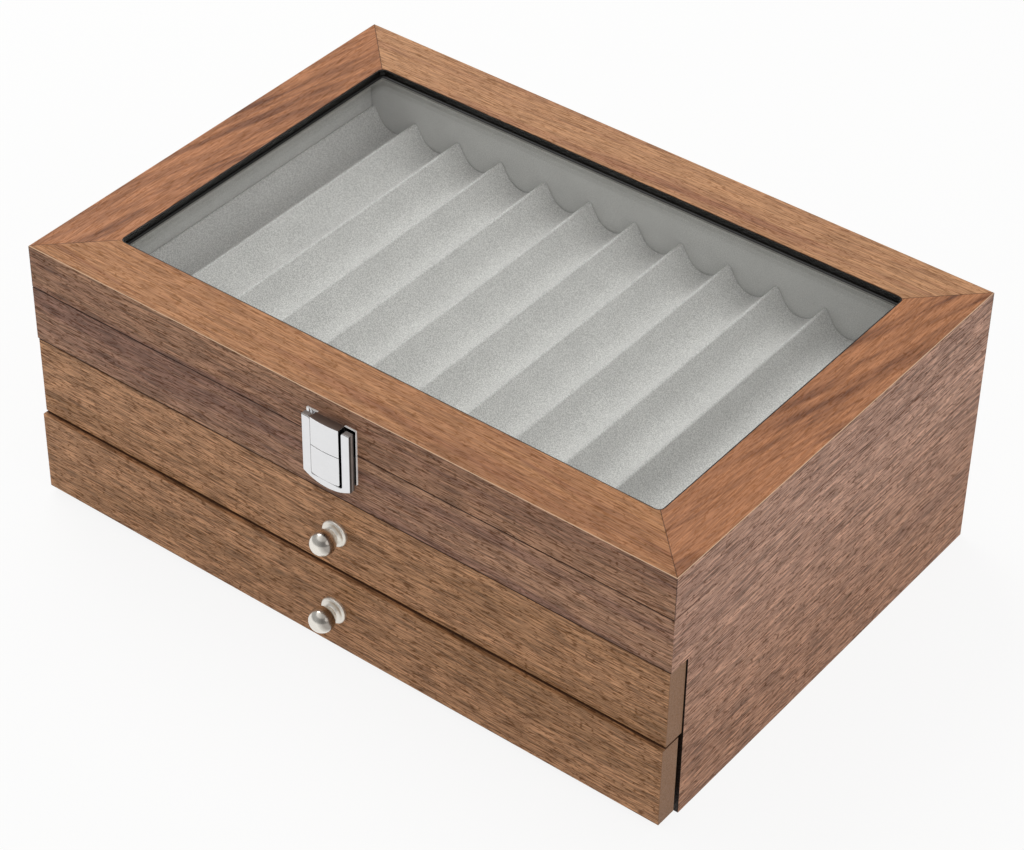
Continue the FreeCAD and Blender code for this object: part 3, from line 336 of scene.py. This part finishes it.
# Satin nickel of the knobs: a warm white metal with a soft gleam. The ball is polished more than the
# rosette against the wood, and its side turned right and up is mixed towards dark brown: a painted
# reflection of the wood and the room.
def makeNickel():
    ball = {"from": (-0.1195, -0.1185), "gloss": (0.21, 0.42), "turned": (0.45, 0.85),
            "woodReflectionDepth": (-0.1200, -0.1190)}
    material, tree = newMaterial("satin nickel plate")
    place = addNode(tree, "TexCoord")
    haze = addNode(tree, "TexNoise", {"Vector": place.outputs["Object"], "Scale": 220.0,
                                      "Detail": 3.0}).outputs["Fac"]
    depth = addNode(tree, "SeparateXYZ", {0: place.outputs["Object"]}).outputs["Y"]
    gloss = mapRange(tree, depth, *ball["gloss"], *ball["from"])
    gloss = mathNode(tree, "ADD", gloss, mapRange(tree, haze, -0.02, 0.03, 0.35, 0.7))
    skin = scaleColor(tree, hexColor("#EAE5DC")[:3], mapRange(tree, haze, 0.97, 1.02, 0.3, 0.7))
    # Painted reflection: the ball's faces turned right and up, in front of the rosette, darken towards
    # brown.
    facing = addNode(tree, "SeparateXYZ", {0: place.outputs["Normal"]})
    rise = mathNode(tree, "MULTIPLY", facing.outputs["Z"], 0.55)
    turned = mathNode(tree, "ADD", facing.outputs["X"], rise)
    dark = mathNode(tree, "MULTIPLY", mapRange(tree, turned, 0.0, 0.62, *ball["turned"]),
                    mapRange(tree, depth, 1.0, 0.0, *ball["woodReflectionDepth"]))
    skin = mixColors(tree, dark, skin, hexColor("#4A3A30"))
    metal = addNode(tree, "BsdfPrincipled", {"Base Color": skin, "Metallic": 1.0, "Roughness": gloss})
    addNode(tree, "OutputMaterial", {"Surface": metal.outputs[0]})
    return material


# Bright zinc plate of the hinges and screws: a cool grey metal whose gloss changes a little from
# place to place.
def makeZinc():
    material, tree = newMaterial("bright zinc plate")
    place = addNode(tree, "TexCoord").outputs["Object"]
    haze = addNode(tree, "TexNoise", {"Vector": place, "Scale": 180.0, "Detail": 3.0}).outputs["Fac"]
    gloss = mapRange(tree, haze, 0.20, 0.26, 0.35, 0.7)
    skin = scaleColor(tree, hexColor("#C9C9C6")[:3], mapRange(tree, haze, 0.97, 1.02, 0.3, 0.7))
    metal = addNode(tree, "BsdfPrincipled", {"Base Color": skin, "Metallic": 1.0, "Roughness": gloss})
    addNode(tree, "OutputMaterial", {"Surface": metal.outputs[0]})
    return material


# Polished chrome plate: a bright mirror on the front faces, rounded at every edge. Much of the rest
# is painted light: the cheeks' outer sides are grey with a painted highlight down their middle, the
# tops of the cheeks and the tongue carry painted reflections in grey and in the wood's brown, the
# back plate's rims are a matt near-white as a painted highlight, and the slot between the cheeks
# and the gap behind them are painted dark and left rough as painted shade. Sizes are places on the
# latch, in metres.
def makeChrome():
    slot = {"halfWidth": 0.0081, "behind": -0.1165, "under": 0.1227}
    gap = {"left": 0.0070, "right": 0.0123, "behind": -0.1139, "under": 0.1226}
    cheek = {"inner": 0.0119, "outer": 0.0124, "topFrom": 0.0086, "under": 0.1227, "middle": 0.1150,
             "streak": (0.0002, 0.0008)}
    base = {"front": -0.11295, "from": 0.0069}
    color = {"bright": "#E4E4E5", "sideEdge": "#4A4644", "sideHighlight": "#A9A6A3", "slot": "#1C1916",
             "slotWall": "#6E6A67", "cheekTop": "#8F8B88", "tongueTop": "#5E4F47", "base": "#FFFFFD"}
    material, tree = newMaterial("polished chrome plate")
    place = addNode(tree, "TexCoord")
    haze = addNode(tree, "TexNoise", {"Vector": place.outputs["Object"], "Scale": 250.0,
                                      "Detail": 3.0}).outputs["Fac"]
    parts = addNode(tree, "SeparateXYZ", {0: place.outputs["Object"]})
    facing = addNode(tree, "SeparateXYZ", {0: place.outputs["Normal"]})
    x, y, z = parts.outputs["X"], parts.outputs["Y"], parts.outputs["Z"]
    wide = mathNode(tree, "ABSOLUTE", x)

    # Painted shade: the slot between the cheeks and the gap behind them, near-black with mid-grey
    # walls.
    recessShade = allOf(tree, below(tree, wide, slot["halfWidth"]), above(tree, y, slot["behind"]),
                 below(tree, z, slot["under"]))
    behind = allOf(tree, above(tree, x, gap["left"]), below(tree, x, gap["right"]),
                   above(tree, y, gap["behind"]), below(tree, z, gap["under"]))
    recessShade = mathNode(tree, "MAXIMUM", recessShade, behind)
    side = allOf(tree, above(tree, facing.outputs["X"], 0.7), above(tree, wide, cheek["inner"]),
                 below(tree, wide, cheek["outer"]))
    # Painted highlight: the back plate's rims, matt and near-white.
    rim = allOf(tree, above(tree, y, base["front"]), above(tree, wide, base["from"]),
                below(tree, mathNode(tree, "ABSOLUTE", facing.outputs["Y"]), 0.5))
    # Painted reflections: the up-facing tops of the cheeks in grey, and the tongue's top in the wood's
    # brown.
    upward = allOf(tree, above(tree, facing.outputs["Z"], 0.7), below(tree, y, base["front"]))
    cheekTop = allOf(tree, upward, above(tree, wide, cheek["topFrom"]))
    tongueTop = allOf(tree, upward, above(tree, z, cheek["under"]))

    # Painted highlight: the cheeks' outer sides are grey, paler down their middle.
    streak = mathNode(tree, "ABSOLUTE", mathNode(tree, "ADD", y, cheek["middle"]))
    flank = mixColors(tree, mapRange(tree, streak, 1.0, 0.0, *cheek["streak"]),
                      hexColor(color["sideEdge"]), hexColor(color["sideHighlight"]))
    wall = mixColors(tree, above(tree, facing.outputs["X"], 0.5), hexColor(color["slot"]),
                     hexColor(color["slotWall"]))
    skin = scaleColor(tree, hexColor(color["bright"])[:3], mapRange(tree, haze, 0.98, 1.01, 0.3, 0.7))
    skin = mixColors(tree, side, skin, flank)
    skin = mixColors(tree, cheekTop, skin, hexColor(color["cheekTop"]))
    skin = mixColors(tree, tongueTop, skin, hexColor(color["tongueTop"]))
    skin = mixColors(tree, rim, skin, hexColor(color["base"]))
    skin = mixColors(tree, recessShade, skin, wall)
    matt = mathNode(tree, "MAXIMUM", side, mathNode(tree, "MAXIMUM", cheekTop, tongueTop))
    matt = mathNode(tree, "MAXIMUM", rim, mathNode(tree, "MULTIPLY", matt, 0.75))
    shine = mathNode(tree, "SUBTRACT", 1.0, matt)
    gloss = mathNode(tree, "ADD", mapRange(tree, haze, 0.05, 0.09, 0.35, 0.7),
                     mathNode(tree, "MULTIPLY", mathNode(tree, "MAXIMUM", recessShade, matt), 0.3))
    edges = addNode(tree, "Bevel", {"Radius": 0.0003}, samples=6)
    metal = addNode(tree, "BsdfPrincipled", {"Base Color": skin, "Metallic": shine, "Roughness": gloss,
                                             "Normal": edges.outputs[0]})
    addNode(tree, "OutputMaterial", {"Surface": metal.outputs[0]})
    return material


# Float glass: clear and mirror smooth. Light of the lamps and the sky passes straight through it.
def makeGlass():
    material, tree = newMaterial("float glass")
    path = addNode(tree, "LightPath")
    pane = addNode(tree, "BsdfPrincipled", {"Base Color": hexColor("#FDFDFC"), "Roughness": 0.0,
                                            "IOR": 1.5, "Transmission Weight": 1.0})
    clear = addNode(tree, "BsdfTransparent", {"Color": hexColor("#FAFAF9")})
    light = mathNode(tree, "MAXIMUM", path.outputs["Is Shadow Ray"], path.outputs["Is Diffuse Ray"])
    both = addNode(tree, "MixShader", {0: light, 1: pane.outputs[0], 2: clear.outputs[0]})
    addNode(tree, "OutputMaterial", {"Surface": both.outputs[0]})
    return material


# Planed paulownia of the drawer boxes, and fibreboard: pale and matt, with faint lines.
def makePlainWood(name, along, pale, deep, rough):
    material, tree = newMaterial(name)
    place = addNode(tree, "TexCoord").outputs["Object"]
    turned = addNode(tree, "Mapping", {"Vector": place, "Rotation":
                                       (0, 0, 0 if along == "X" else math.pi / 2)}).outputs[0]
    line = mapRange(tree, grainNoise(tree, turned, 120.0, 2.2, 3.0, 0.6), 0.0, 1.0, 0.35, 0.7)
    fibre = grainNoise(tree, turned, 7.0, 0.7, 2.0, 0.6)
    color = mixColors(tree, line, hexColor(pale), hexColor(deep))
    color = scaleColor(tree, color, mapRange(tree, fibre, 0.92, 1.08, 0.3, 0.7))
    relief = addNode(tree, "Bump", {"Strength": 0.15, "Distance": 0.0002, "Height": fibre})
    wood = addNode(tree, "BsdfPrincipled", {"Base Color": color, "Roughness": rough,
                                            "Normal": relief.outputs[0]})
    addNode(tree, "OutputMaterial", {"Surface": wood.outputs[0]})
    return material


# Black soft plastic, extruded: an even, fairly glossy skin, with its foot on the glass painted pale
# grey as a painted highlight.
def makeBlackPlastic():
    material, tree = newMaterial("black soft plastic")
    place = addNode(tree, "TexCoord").outputs["Object"]
    skin = addNode(tree, "TexNoise", {"Vector": place, "Scale": 400.0, "Detail": 2.0}).outputs["Fac"]
    color = scaleColor(tree, hexColor("#0E0C09")[:3], mapRange(tree, skin, 0.85, 1.15, 0.3, 0.7))
    # Painted highlight: a pale grey band along the foot, where it sits on the glass.
    height = addNode(tree, "SeparateXYZ", {0: place}).outputs["Z"]
    foot = mapRange(tree, height, 0.85, 0.0, 0.1276, 0.1278)
    color = mixColors(tree, foot, color, hexColor("#8A8883"))
    plastic = addNode(tree, "BsdfPrincipled", {"Base Color": color, "Specular IOR Level": 0.35,
                                               "Roughness": mapRange(tree, skin, 0.30, 0.40, 0.3, 0.7)})
    addNode(tree, "OutputMaterial", {"Surface": plastic.outputs[0]})
    return material


def dress(material, *names):
    for name in names:
        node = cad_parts[name]
        node.data.materials.clear()
        node.data.materials.append(material)


# Leaves of the veneer. Edge is where its streaks start and are full, and figure and fibre are the
# strength of its broad figure and the size of its fibres, where they aren't the usual ones.
topLeaf = {"pale": "#B27E55", "deep": "#986545", "tilt": (0, 0, 4), "edge": (0.48, 0.80)}
# The back rail's top leaf is paler than the front's: painted light, for the brighter light on the back
# rail.
litBackTopLeaf = {"pale": "#BD8C65", "deep": "#9E6D51", "tilt": (0, 0, -3), "edge": (0.50, 0.82)}
crossLeaf = {"pale": "#B47A54", "deep": "#734A35", "tilt": (0, 0, 13), "edge": (0.47, 0.72),
             "streak": (80.0, 7.0), "contrast": 0.42}
frontLeaf = {"pale": "#A57B5E", "deep": "#825D4C", "tilt": (0, 1.5, 0), "edge": (0.42, 0.66),
             "figure": (-0.12, 0.30), "fibre": (13.0, 0.65)}
sideLeaf = {"pale": "#BB9079", "deep": "#9C7562", "tilt": (0, 1, 0), "edge": (0.42, 0.80),
            "figure": (-0.05, 0.22), "fibre": (12.0, 0.75)}
railLeaf = {"pale": "#AC8265", "deep": "#896453", "tilt": (0, 1.5, 0), "edge": (0.42, 0.66),
            "figure": (-0.12, 0.30), "fibre": (13.0, 0.65)}
drawerLeaf = {"pale": "#B98963", "deep": "#9B714C", "tilt": (0, 2, 0), "edge": (0.42, 0.80),
              "figure": (-0.08, 0.25), "fibre": (12.0, 0.65)}
backLeaf = {"pale": "#B48767", "deep": "#835D47", "tilt": (0, -1, 0), "edge": (0.42, 0.75)}
sandedEnds = [((1, 0, 0), "#8A664A"), ((-1, 0, 0), "#8A664A"), ((0, 1, 0), "#8A6A52")]
# Painted shade: the side panels' front edges are painted near-black, for the shade in the gaps beside
# the drawer fronts.
darkEdges = [((0, -1, 0), "#21160F")]

dress(makeVeneer("walnut veneer, lid front", "X", frontLeaf, topLeaf, mitred=True), "lid_rail_front")
dress(makeVeneer("walnut veneer, lid back", "X", backLeaf, litBackTopLeaf, mitred=True), "lid_rail_back")
dress(makeVeneer("walnut veneer, lid sides", "Y", sideLeaf, crossLeaf, mitred=True),
      "lid_rail_left", "lid_rail_right")
dress(makeVeneer("walnut veneer, front rail", "X", railLeaf, seams=(0.0834, 0.1101)),
      "upper_front_rail")
dress(makeVeneer("walnut veneer, case sides", "Y", sideLeaf, caps=darkEdges, lowShade="#F3E6D2"),
      "side_panel_left", "side_panel_right")
dress(makeVeneer("walnut veneer, case back", "X", backLeaf), "back_panel")
dress(makeVeneer("walnut veneer, drawer fronts", "X", drawerLeaf, caps=sandedEnds,
                 shut=-0.1121), "upper_drawer_front", "lower_drawer_front")
dress(makeGlass(), "glass_pane")
dress(makeBlackPlastic(), "window_gasket")
dress(makeChrome(), "latch_case", "latch_case_plate", "latch_tongue", "latch_button")
dress(makeNickel(), "upper_knob", "lower_knob")
zinc = makeZinc()
dress(zinc, "hinge_leaf_lower_left", "hinge_leaf_lower_right", "hinge_leaf_upper_left",
      "hinge_leaf_upper_right", "hinge_pin_left", "hinge_pin_right", "hinge_screws_lower",
      "hinge_screws_upper", "latch_screws_lower", "latch_screws_upper", "upper_knob_screw",
      "lower_knob_screw", "latch_spring")
dress(makePlainWood("paulownia, drawer sides", "Y", "#C9AE8A", "#B2946F", 0.55),
      "upper_drawer_side_left", "upper_drawer_side_right", "lower_drawer_side_left",
      "lower_drawer_side_right")
dress(makePlainWood("paulownia, drawer backs", "X", "#C9AE8A", "#B2946F", 0.55),
      "upper_drawer_back", "lower_drawer_back")
dress(makePlainWood("fibreboard", "X", "#A58A6B", "#96795A", 0.8), "compartment_floor",
      "drawer_divider", "base_board", "upper_drawer_bottom", "lower_drawer_bottom")
velvet = makeVelvet("grey flocked velvet", "#DBDBD9", 0.21, 0.5)
cloth = makeVelvet("grey velvet cloth", "#CBCBC8", 0.1, 0.5)
dress(cloth, "glass_retainer")
print("materials on the frame's nodes")


# Modelling helpers

# Leaves edit mode, selects the items and makes the first one active.
def selectOnly(*items):
    if bpy.context.object and bpy.context.object.mode == "EDIT":
        bpy.ops.object.mode_set(mode="OBJECT")
    bpy.ops.object.select_all(action="DESELECT")
    for item in items:
        item.select_set(True)
    bpy.context.view_layer.objects.active = items[0]


# Selects the vertices, edges or faces of the mesh in edit mode that the test accepts.
def pick(kind, test):
    bpy.ops.mesh.select_mode(type=kind)
    bpy.ops.mesh.select_all(action="DESELECT")
    mesh = bmesh.from_edit_mesh(bpy.context.object.data)
    for item in {"VERT": mesh.verts, "EDGE": mesh.edges, "FACE": mesh.faces}[kind]:
        if test(item):
            item.select_set(True)
    mesh.select_flush_mode()
    bmesh.update_edit_mesh(bpy.context.object.data)


def addBlock(name, low, high):
    bpy.ops.object.select_all(action="DESELECT")
    bpy.ops.mesh.primitive_cube_add(size=1, location=[(a + b) / 2 for a, b in zip(low, high)],
                                    scale=[b - a for a, b in zip(low, high)])
    block = bpy.context.object
    block.name = name
    bpy.ops.object.transform_apply(location=True, rotation=True, scale=True)
    return block


def applyModifier(piece, kind, **settings):
    selectOnly(piece)
    modifier = piece.modifiers.new(kind.lower(), kind)
    for name, value in settings.items():
        setattr(modifier, name, value)
    bpy.ops.object.modifier_apply(modifier=modifier.name)


# The slow unevenness of padding and moulded flock.
softWaves = bpy.data.textures.new("softWaves", "CLOUDS")
softWaves.noise_scale = 0.028


# Smooth is the angle in degrees up to which faces blend. Node is the CAD piece that this one shows.
def finishPiece(piece, body, material, node, smooth=35):
    selectOnly(piece)
    bpy.ops.object.shade_smooth_by_angle(angle=math.radians(smooth))
    piece.data.materials.clear()
    piece.data.materials.append(material)
    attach(piece, body)
    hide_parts(node)


# Pen trays: thin moulded shells, flocked. A strip of grid is shaped to one channel, repeated, and
# given walls down to its underside.

# Half a channel is an arc at the bottom and a smaller one at the crest, which share a tangent.
def channelProfile(half, tray):
    bottom, crest, depth = tray["bottomRadius"], tray["crestRadius"], tray["depth"]
    bottomSteps, crestSteps = tray["bottomSteps"], tray["crestSteps"]
    rise = depth - crest - bottom
    slope = math.asin((bottom + crest) / math.hypot(half, rise)) + math.atan(rise / half)
    points = []
    for step in range(bottomSteps + 1):
        angle = slope * step / bottomSteps
        points.append((bottom * math.sin(angle), bottom - bottom * math.cos(angle)))
    for step in range(crestSteps + 1):
        angle = slope * (1 - step / crestSteps)
        points.append((half - crest * math.sin(angle), depth - crest + crest * math.cos(angle)))
    return [(-x, z) for x, z in points[:0:-1]] + points


def makeTray(name, node, body, tray):
    low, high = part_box(node)
    half = (high.x - low.x) / tray["channels"] / 2
    profile = channelProfile(half, tray)
    count = len(profile)
    foot = high.z - tray["depth"]
    bpy.ops.object.select_all(action="DESELECT")
    bpy.ops.mesh.primitive_grid_add(x_subdivisions=count - 1, y_subdivisions=tray["rows"], size=1,
                                    location=(low.x + half, (low.y + high.y) / 2, foot))
    shell = bpy.context.object
    shell.name = name
    shell.scale = (2 * half, high.y - low.y, 1)
    bpy.ops.object.transform_apply(location=True, rotation=True, scale=True)
    bpy.ops.object.mode_set(mode="EDIT")
    for column, (x, z) in enumerate(profile):
        pick("VERT", lambda v: v.index % count == column)
        start = 2 * half * column / (count - 1) - half
        bpy.ops.transform.translate(value=(x - start, 0, z))
    bpy.ops.object.mode_set(mode="OBJECT")
    applyModifier(shell, "ARRAY", count=tray["channels"], use_relative_offset=False,
                  use_constant_offset=True, constant_offset_displace=(2 * half, 0, 0),
                  use_merge_vertices=True, merge_threshold=0.00005)
    applyModifier(shell, "DISPLACE", texture=softWaves, strength=tray["waves"], mid_level=0.5,
                  direction="Z", texture_coords="LOCAL")
    selectOnly(shell)
    bpy.ops.object.mode_set(mode="EDIT")
    pick("EDGE", lambda e: e.is_boundary)
    bpy.ops.mesh.extrude_region_move(TRANSFORM_OT_translate={"value": (0, 0, -0.001)})
    bpy.ops.transform.resize(value=(1, 1, 0), center_override=(0, 0, low.z))
    bpy.ops.mesh.edge_face_add()
    bpy.ops.mesh.select_all(action="SELECT")
    bpy.ops.mesh.normals_make_consistent(inside=False)
    bpy.ops.object.mode_set(mode="OBJECT")
    finishPiece(shell, body, velvet, node, 50)


topTray = {"channels": 12, "depth": 0.0104, "bottomRadius": 0.0095, "crestRadius": 0.0012,
           "bottomSteps": 9, "crestSteps": 5, "rows": 40, "waves": 0.00006}
drawerTray = {"channels": 10, "depth": 0.0104, "bottomRadius": 0.011, "crestRadius": 0.0012,
              "bottomSteps": 9, "crestSteps": 5, "rows": 40, "waves": 0.00006}
makeTray("topPenTray", "top_pen_tray", "case", topTray)
makeTray("upperPenTray", "upper_pen_tray", "upper_drawer", drawerTray)
makeTray("lowerPenTray", "lower_pen_tray", "lower_drawer", drawerTray)
print("pen trays made")


# Lining boards wrapped in thin padding and velvet: rounded edges and a slightly crowned inner face.
def makeLining(name, node, inward):
    lining = {"crown": 0.0003, "edge": 0.0011, "border": 0.003, "cuts": 30, "waves": 0.00012,
              "longEdge": 0.1}
    low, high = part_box(node)
    axis = 0 if inward[0] else 1
    if inward[axis] < 0:
        low[axis] += lining["crown"]
    else:
        high[axis] -= lining["crown"]
    board = addBlock(name, low, high)
    bpy.ops.object.mode_set(mode="EDIT")
    bpy.ops.mesh.select_all(action="SELECT")
    bpy.ops.mesh.bevel(offset=lining["edge"], segments=4, affect="EDGES")
    pick("FACE", lambda f: f.normal[axis] * inward[axis] > 0.99)
    bpy.ops.mesh.inset(thickness=lining["border"])
    bpy.ops.transform.translate(value=[lining["crown"] * step for step in inward])
    along = 1 - axis
    pick("EDGE", lambda e: abs(e.verts[0].co[along] - e.verts[1].co[along]) > lining["longEdge"])
    bpy.ops.mesh.subdivide(number_cuts=lining["cuts"])
    bpy.ops.object.mode_set(mode="OBJECT")
    applyModifier(board, "DISPLACE", texture=softWaves, strength=lining["waves"], mid_level=0.9,
                  direction="NORMAL", texture_coords="LOCAL")
    finishPiece(board, "case", cloth, node, 50)


makeLining("liningLeft", "lining_left", (1, 0, 0))
makeLining("liningRight", "lining_right", (-1, 0, 0))
makeLining("liningFront", "lining_front", (0, 1, 0))
makeLining("liningBack", "lining_back", (0, -1, 0))
print("lining boards made")


# Felt under the base board, cut from one sheet with rounded corners.
def makeBaseFelt():
    felt = {"thick": 0.0009, "corner": 0.004}
    low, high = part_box("base_felt")
    bpy.ops.object.select_all(action="DESELECT")
    bpy.ops.mesh.primitive_plane_add(size=1, location=(0, 0, (low.z + high.z) / 2))
    sheet = bpy.context.object
    sheet.name = "baseFelt"
    sheet.scale = (high.x - low.x, high.y - low.y, 1)
    bpy.ops.object.transform_apply(location=True, rotation=True, scale=True)
    bpy.ops.object.mode_set(mode="EDIT")
    bpy.ops.mesh.select_all(action="SELECT")
    bpy.ops.mesh.bevel(offset=felt["corner"], segments=6, affect="VERTICES")
    bpy.ops.object.mode_set(mode="OBJECT")
    applyModifier(sheet, "SOLIDIFY", thickness=felt["thick"], offset=0)
    finishPiece(sheet, "case", makeVelvet("dark grey felt", "#55524E", 0.25, 1.0),
                "base_felt")


makeBaseFelt()


# Countersunk screws with a cross recess. One is modelled, then copied to each place.
def makeScrew(screw):
    bpy.ops.object.select_all(action="DESELECT")
    bpy.ops.mesh.primitive_cylinder_add(vertices=32, radius=screw["head"], depth=screw["thick"],
                                        location=(0, 0, -screw["thick"] / 2))
    piece = bpy.context.object
    bpy.ops.object.transform_apply(location=True, rotation=True, scale=True)
    bpy.ops.object.mode_set(mode="EDIT")
    pick("FACE", lambda f: f.normal.z > 0.9)
    bpy.ops.mesh.inset(thickness=screw["head"] * 0.12)
    pick("EDGE", lambda e: all(v.co.z > -0.00001 and v.co.xy.length > screw["head"] * 0.95
                               for v in e.verts))
    bpy.ops.transform.translate(value=(0, 0, -screw["thick"] * 0.2))
    pick("FACE", lambda f: f.normal.z < -0.9)
    bpy.ops.mesh.inset(thickness=screw["head"] - screw["shank"])
    bpy.ops.mesh.extrude_region_move(TRANSFORM_OT_translate={
        "value": (0, 0, screw["thick"] - screw["length"])})
    bpy.ops.object.mode_set(mode="OBJECT")
    for turn in (0, 90):
        arm = addBlock("recess", (-screw["head"] * 0.6, -screw["head"] * 0.11, -screw["thick"] * 0.7),
                       (screw["head"] * 0.6, screw["head"] * 0.11, screw["thick"]))
        bpy.ops.object.mode_set(mode="EDIT")
        pick("FACE", lambda f: f.normal.z < -0.9)
        bpy.ops.transform.resize(value=(0.55, 0.8, 1), center_override=(0, 0, -screw["thick"] * 0.7))
        bpy.ops.mesh.select_all(action="SELECT")
        bpy.ops.transform.rotate(value=math.radians(turn), orient_axis="Z", center_override=(0, 0, 0))
        bpy.ops.object.mode_set(mode="OBJECT")
        applyModifier(piece, "BOOLEAN", object=arm, operation="DIFFERENCE", solver="EXACT")
        bpy.data.objects.remove(arm)
    return piece


def placeScrews(name, node, body, screw, places, turn):
    model = makeScrew(screw)
    copies = []
    for place in places:
        selectOnly(model)
        bpy.ops.object.duplicate()
        copy = bpy.context.object
        copy.rotation_euler = [math.radians(angle) for angle in turn]
        copy.location = place
        selectOnly(copy)
        bpy.ops.object.transform_apply(location=True, rotation=True, scale=True)
        copies.append(copy)
    bpy.data.objects.remove(model)
    selectOnly(*copies)
    bpy.ops.object.join()
    joined = bpy.context.object
    joined.name = name
    finishPiece(joined, body, zinc, node)


# The hinges' middles lie so far from the chest's middle, and their screws so far from there.
def makeScrews():
    hinge = {"head": 0.0018, "shank": 0.001, "thick": 0.0005, "length": 0.008, "middle": 0.105,
             "spread": 0.009}
    latch = {"head": 0.0019, "shank": 0.001, "thick": 0.0013, "length": 0.0098}
    knob = {"head": 0.0036, "shank": 0.002, "thick": 0.002, "length": 0.015}
    low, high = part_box("hinge_screws_lower")
    xs = [side * (hinge["middle"] + end * hinge["spread"]) for side in (-1, 1) for end in (-1, 1)]
    y = (low.y + high.y) / 2
    placeScrews("hingeScrewsLower", "hinge_screws_lower", "case", hinge,
                [(x, y, high.z) for x in xs], (0, 0, 0))
    low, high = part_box("hinge_screws_upper")
    placeScrews("hingeScrewsUpper", "hinge_screws_upper", "lid", hinge,
                [(x, y, low.z) for x in xs], (180, 0, 0))
    low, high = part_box("latch_screws_upper")
    xs = (low.x + latch["head"], high.x - latch["head"])
    places = [(x, high.y, (low.z + high.z) / 2) for x in xs]
    placeScrews("latchScrewsUpper", "latch_screws_upper", "lid", latch, places, (-90, 0, 0))
    for name, body in (("upper", "upper_drawer"), ("lower", "lower_drawer")):
        low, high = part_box(name + "_knob_screw")
        placeScrews(name + "KnobScrew", name + "_knob_screw", body, knob,
                    [(0, high.y, (low.z + high.z) / 2)], (-90, 0, 0))


makeScrews()
print("felt and screws made")
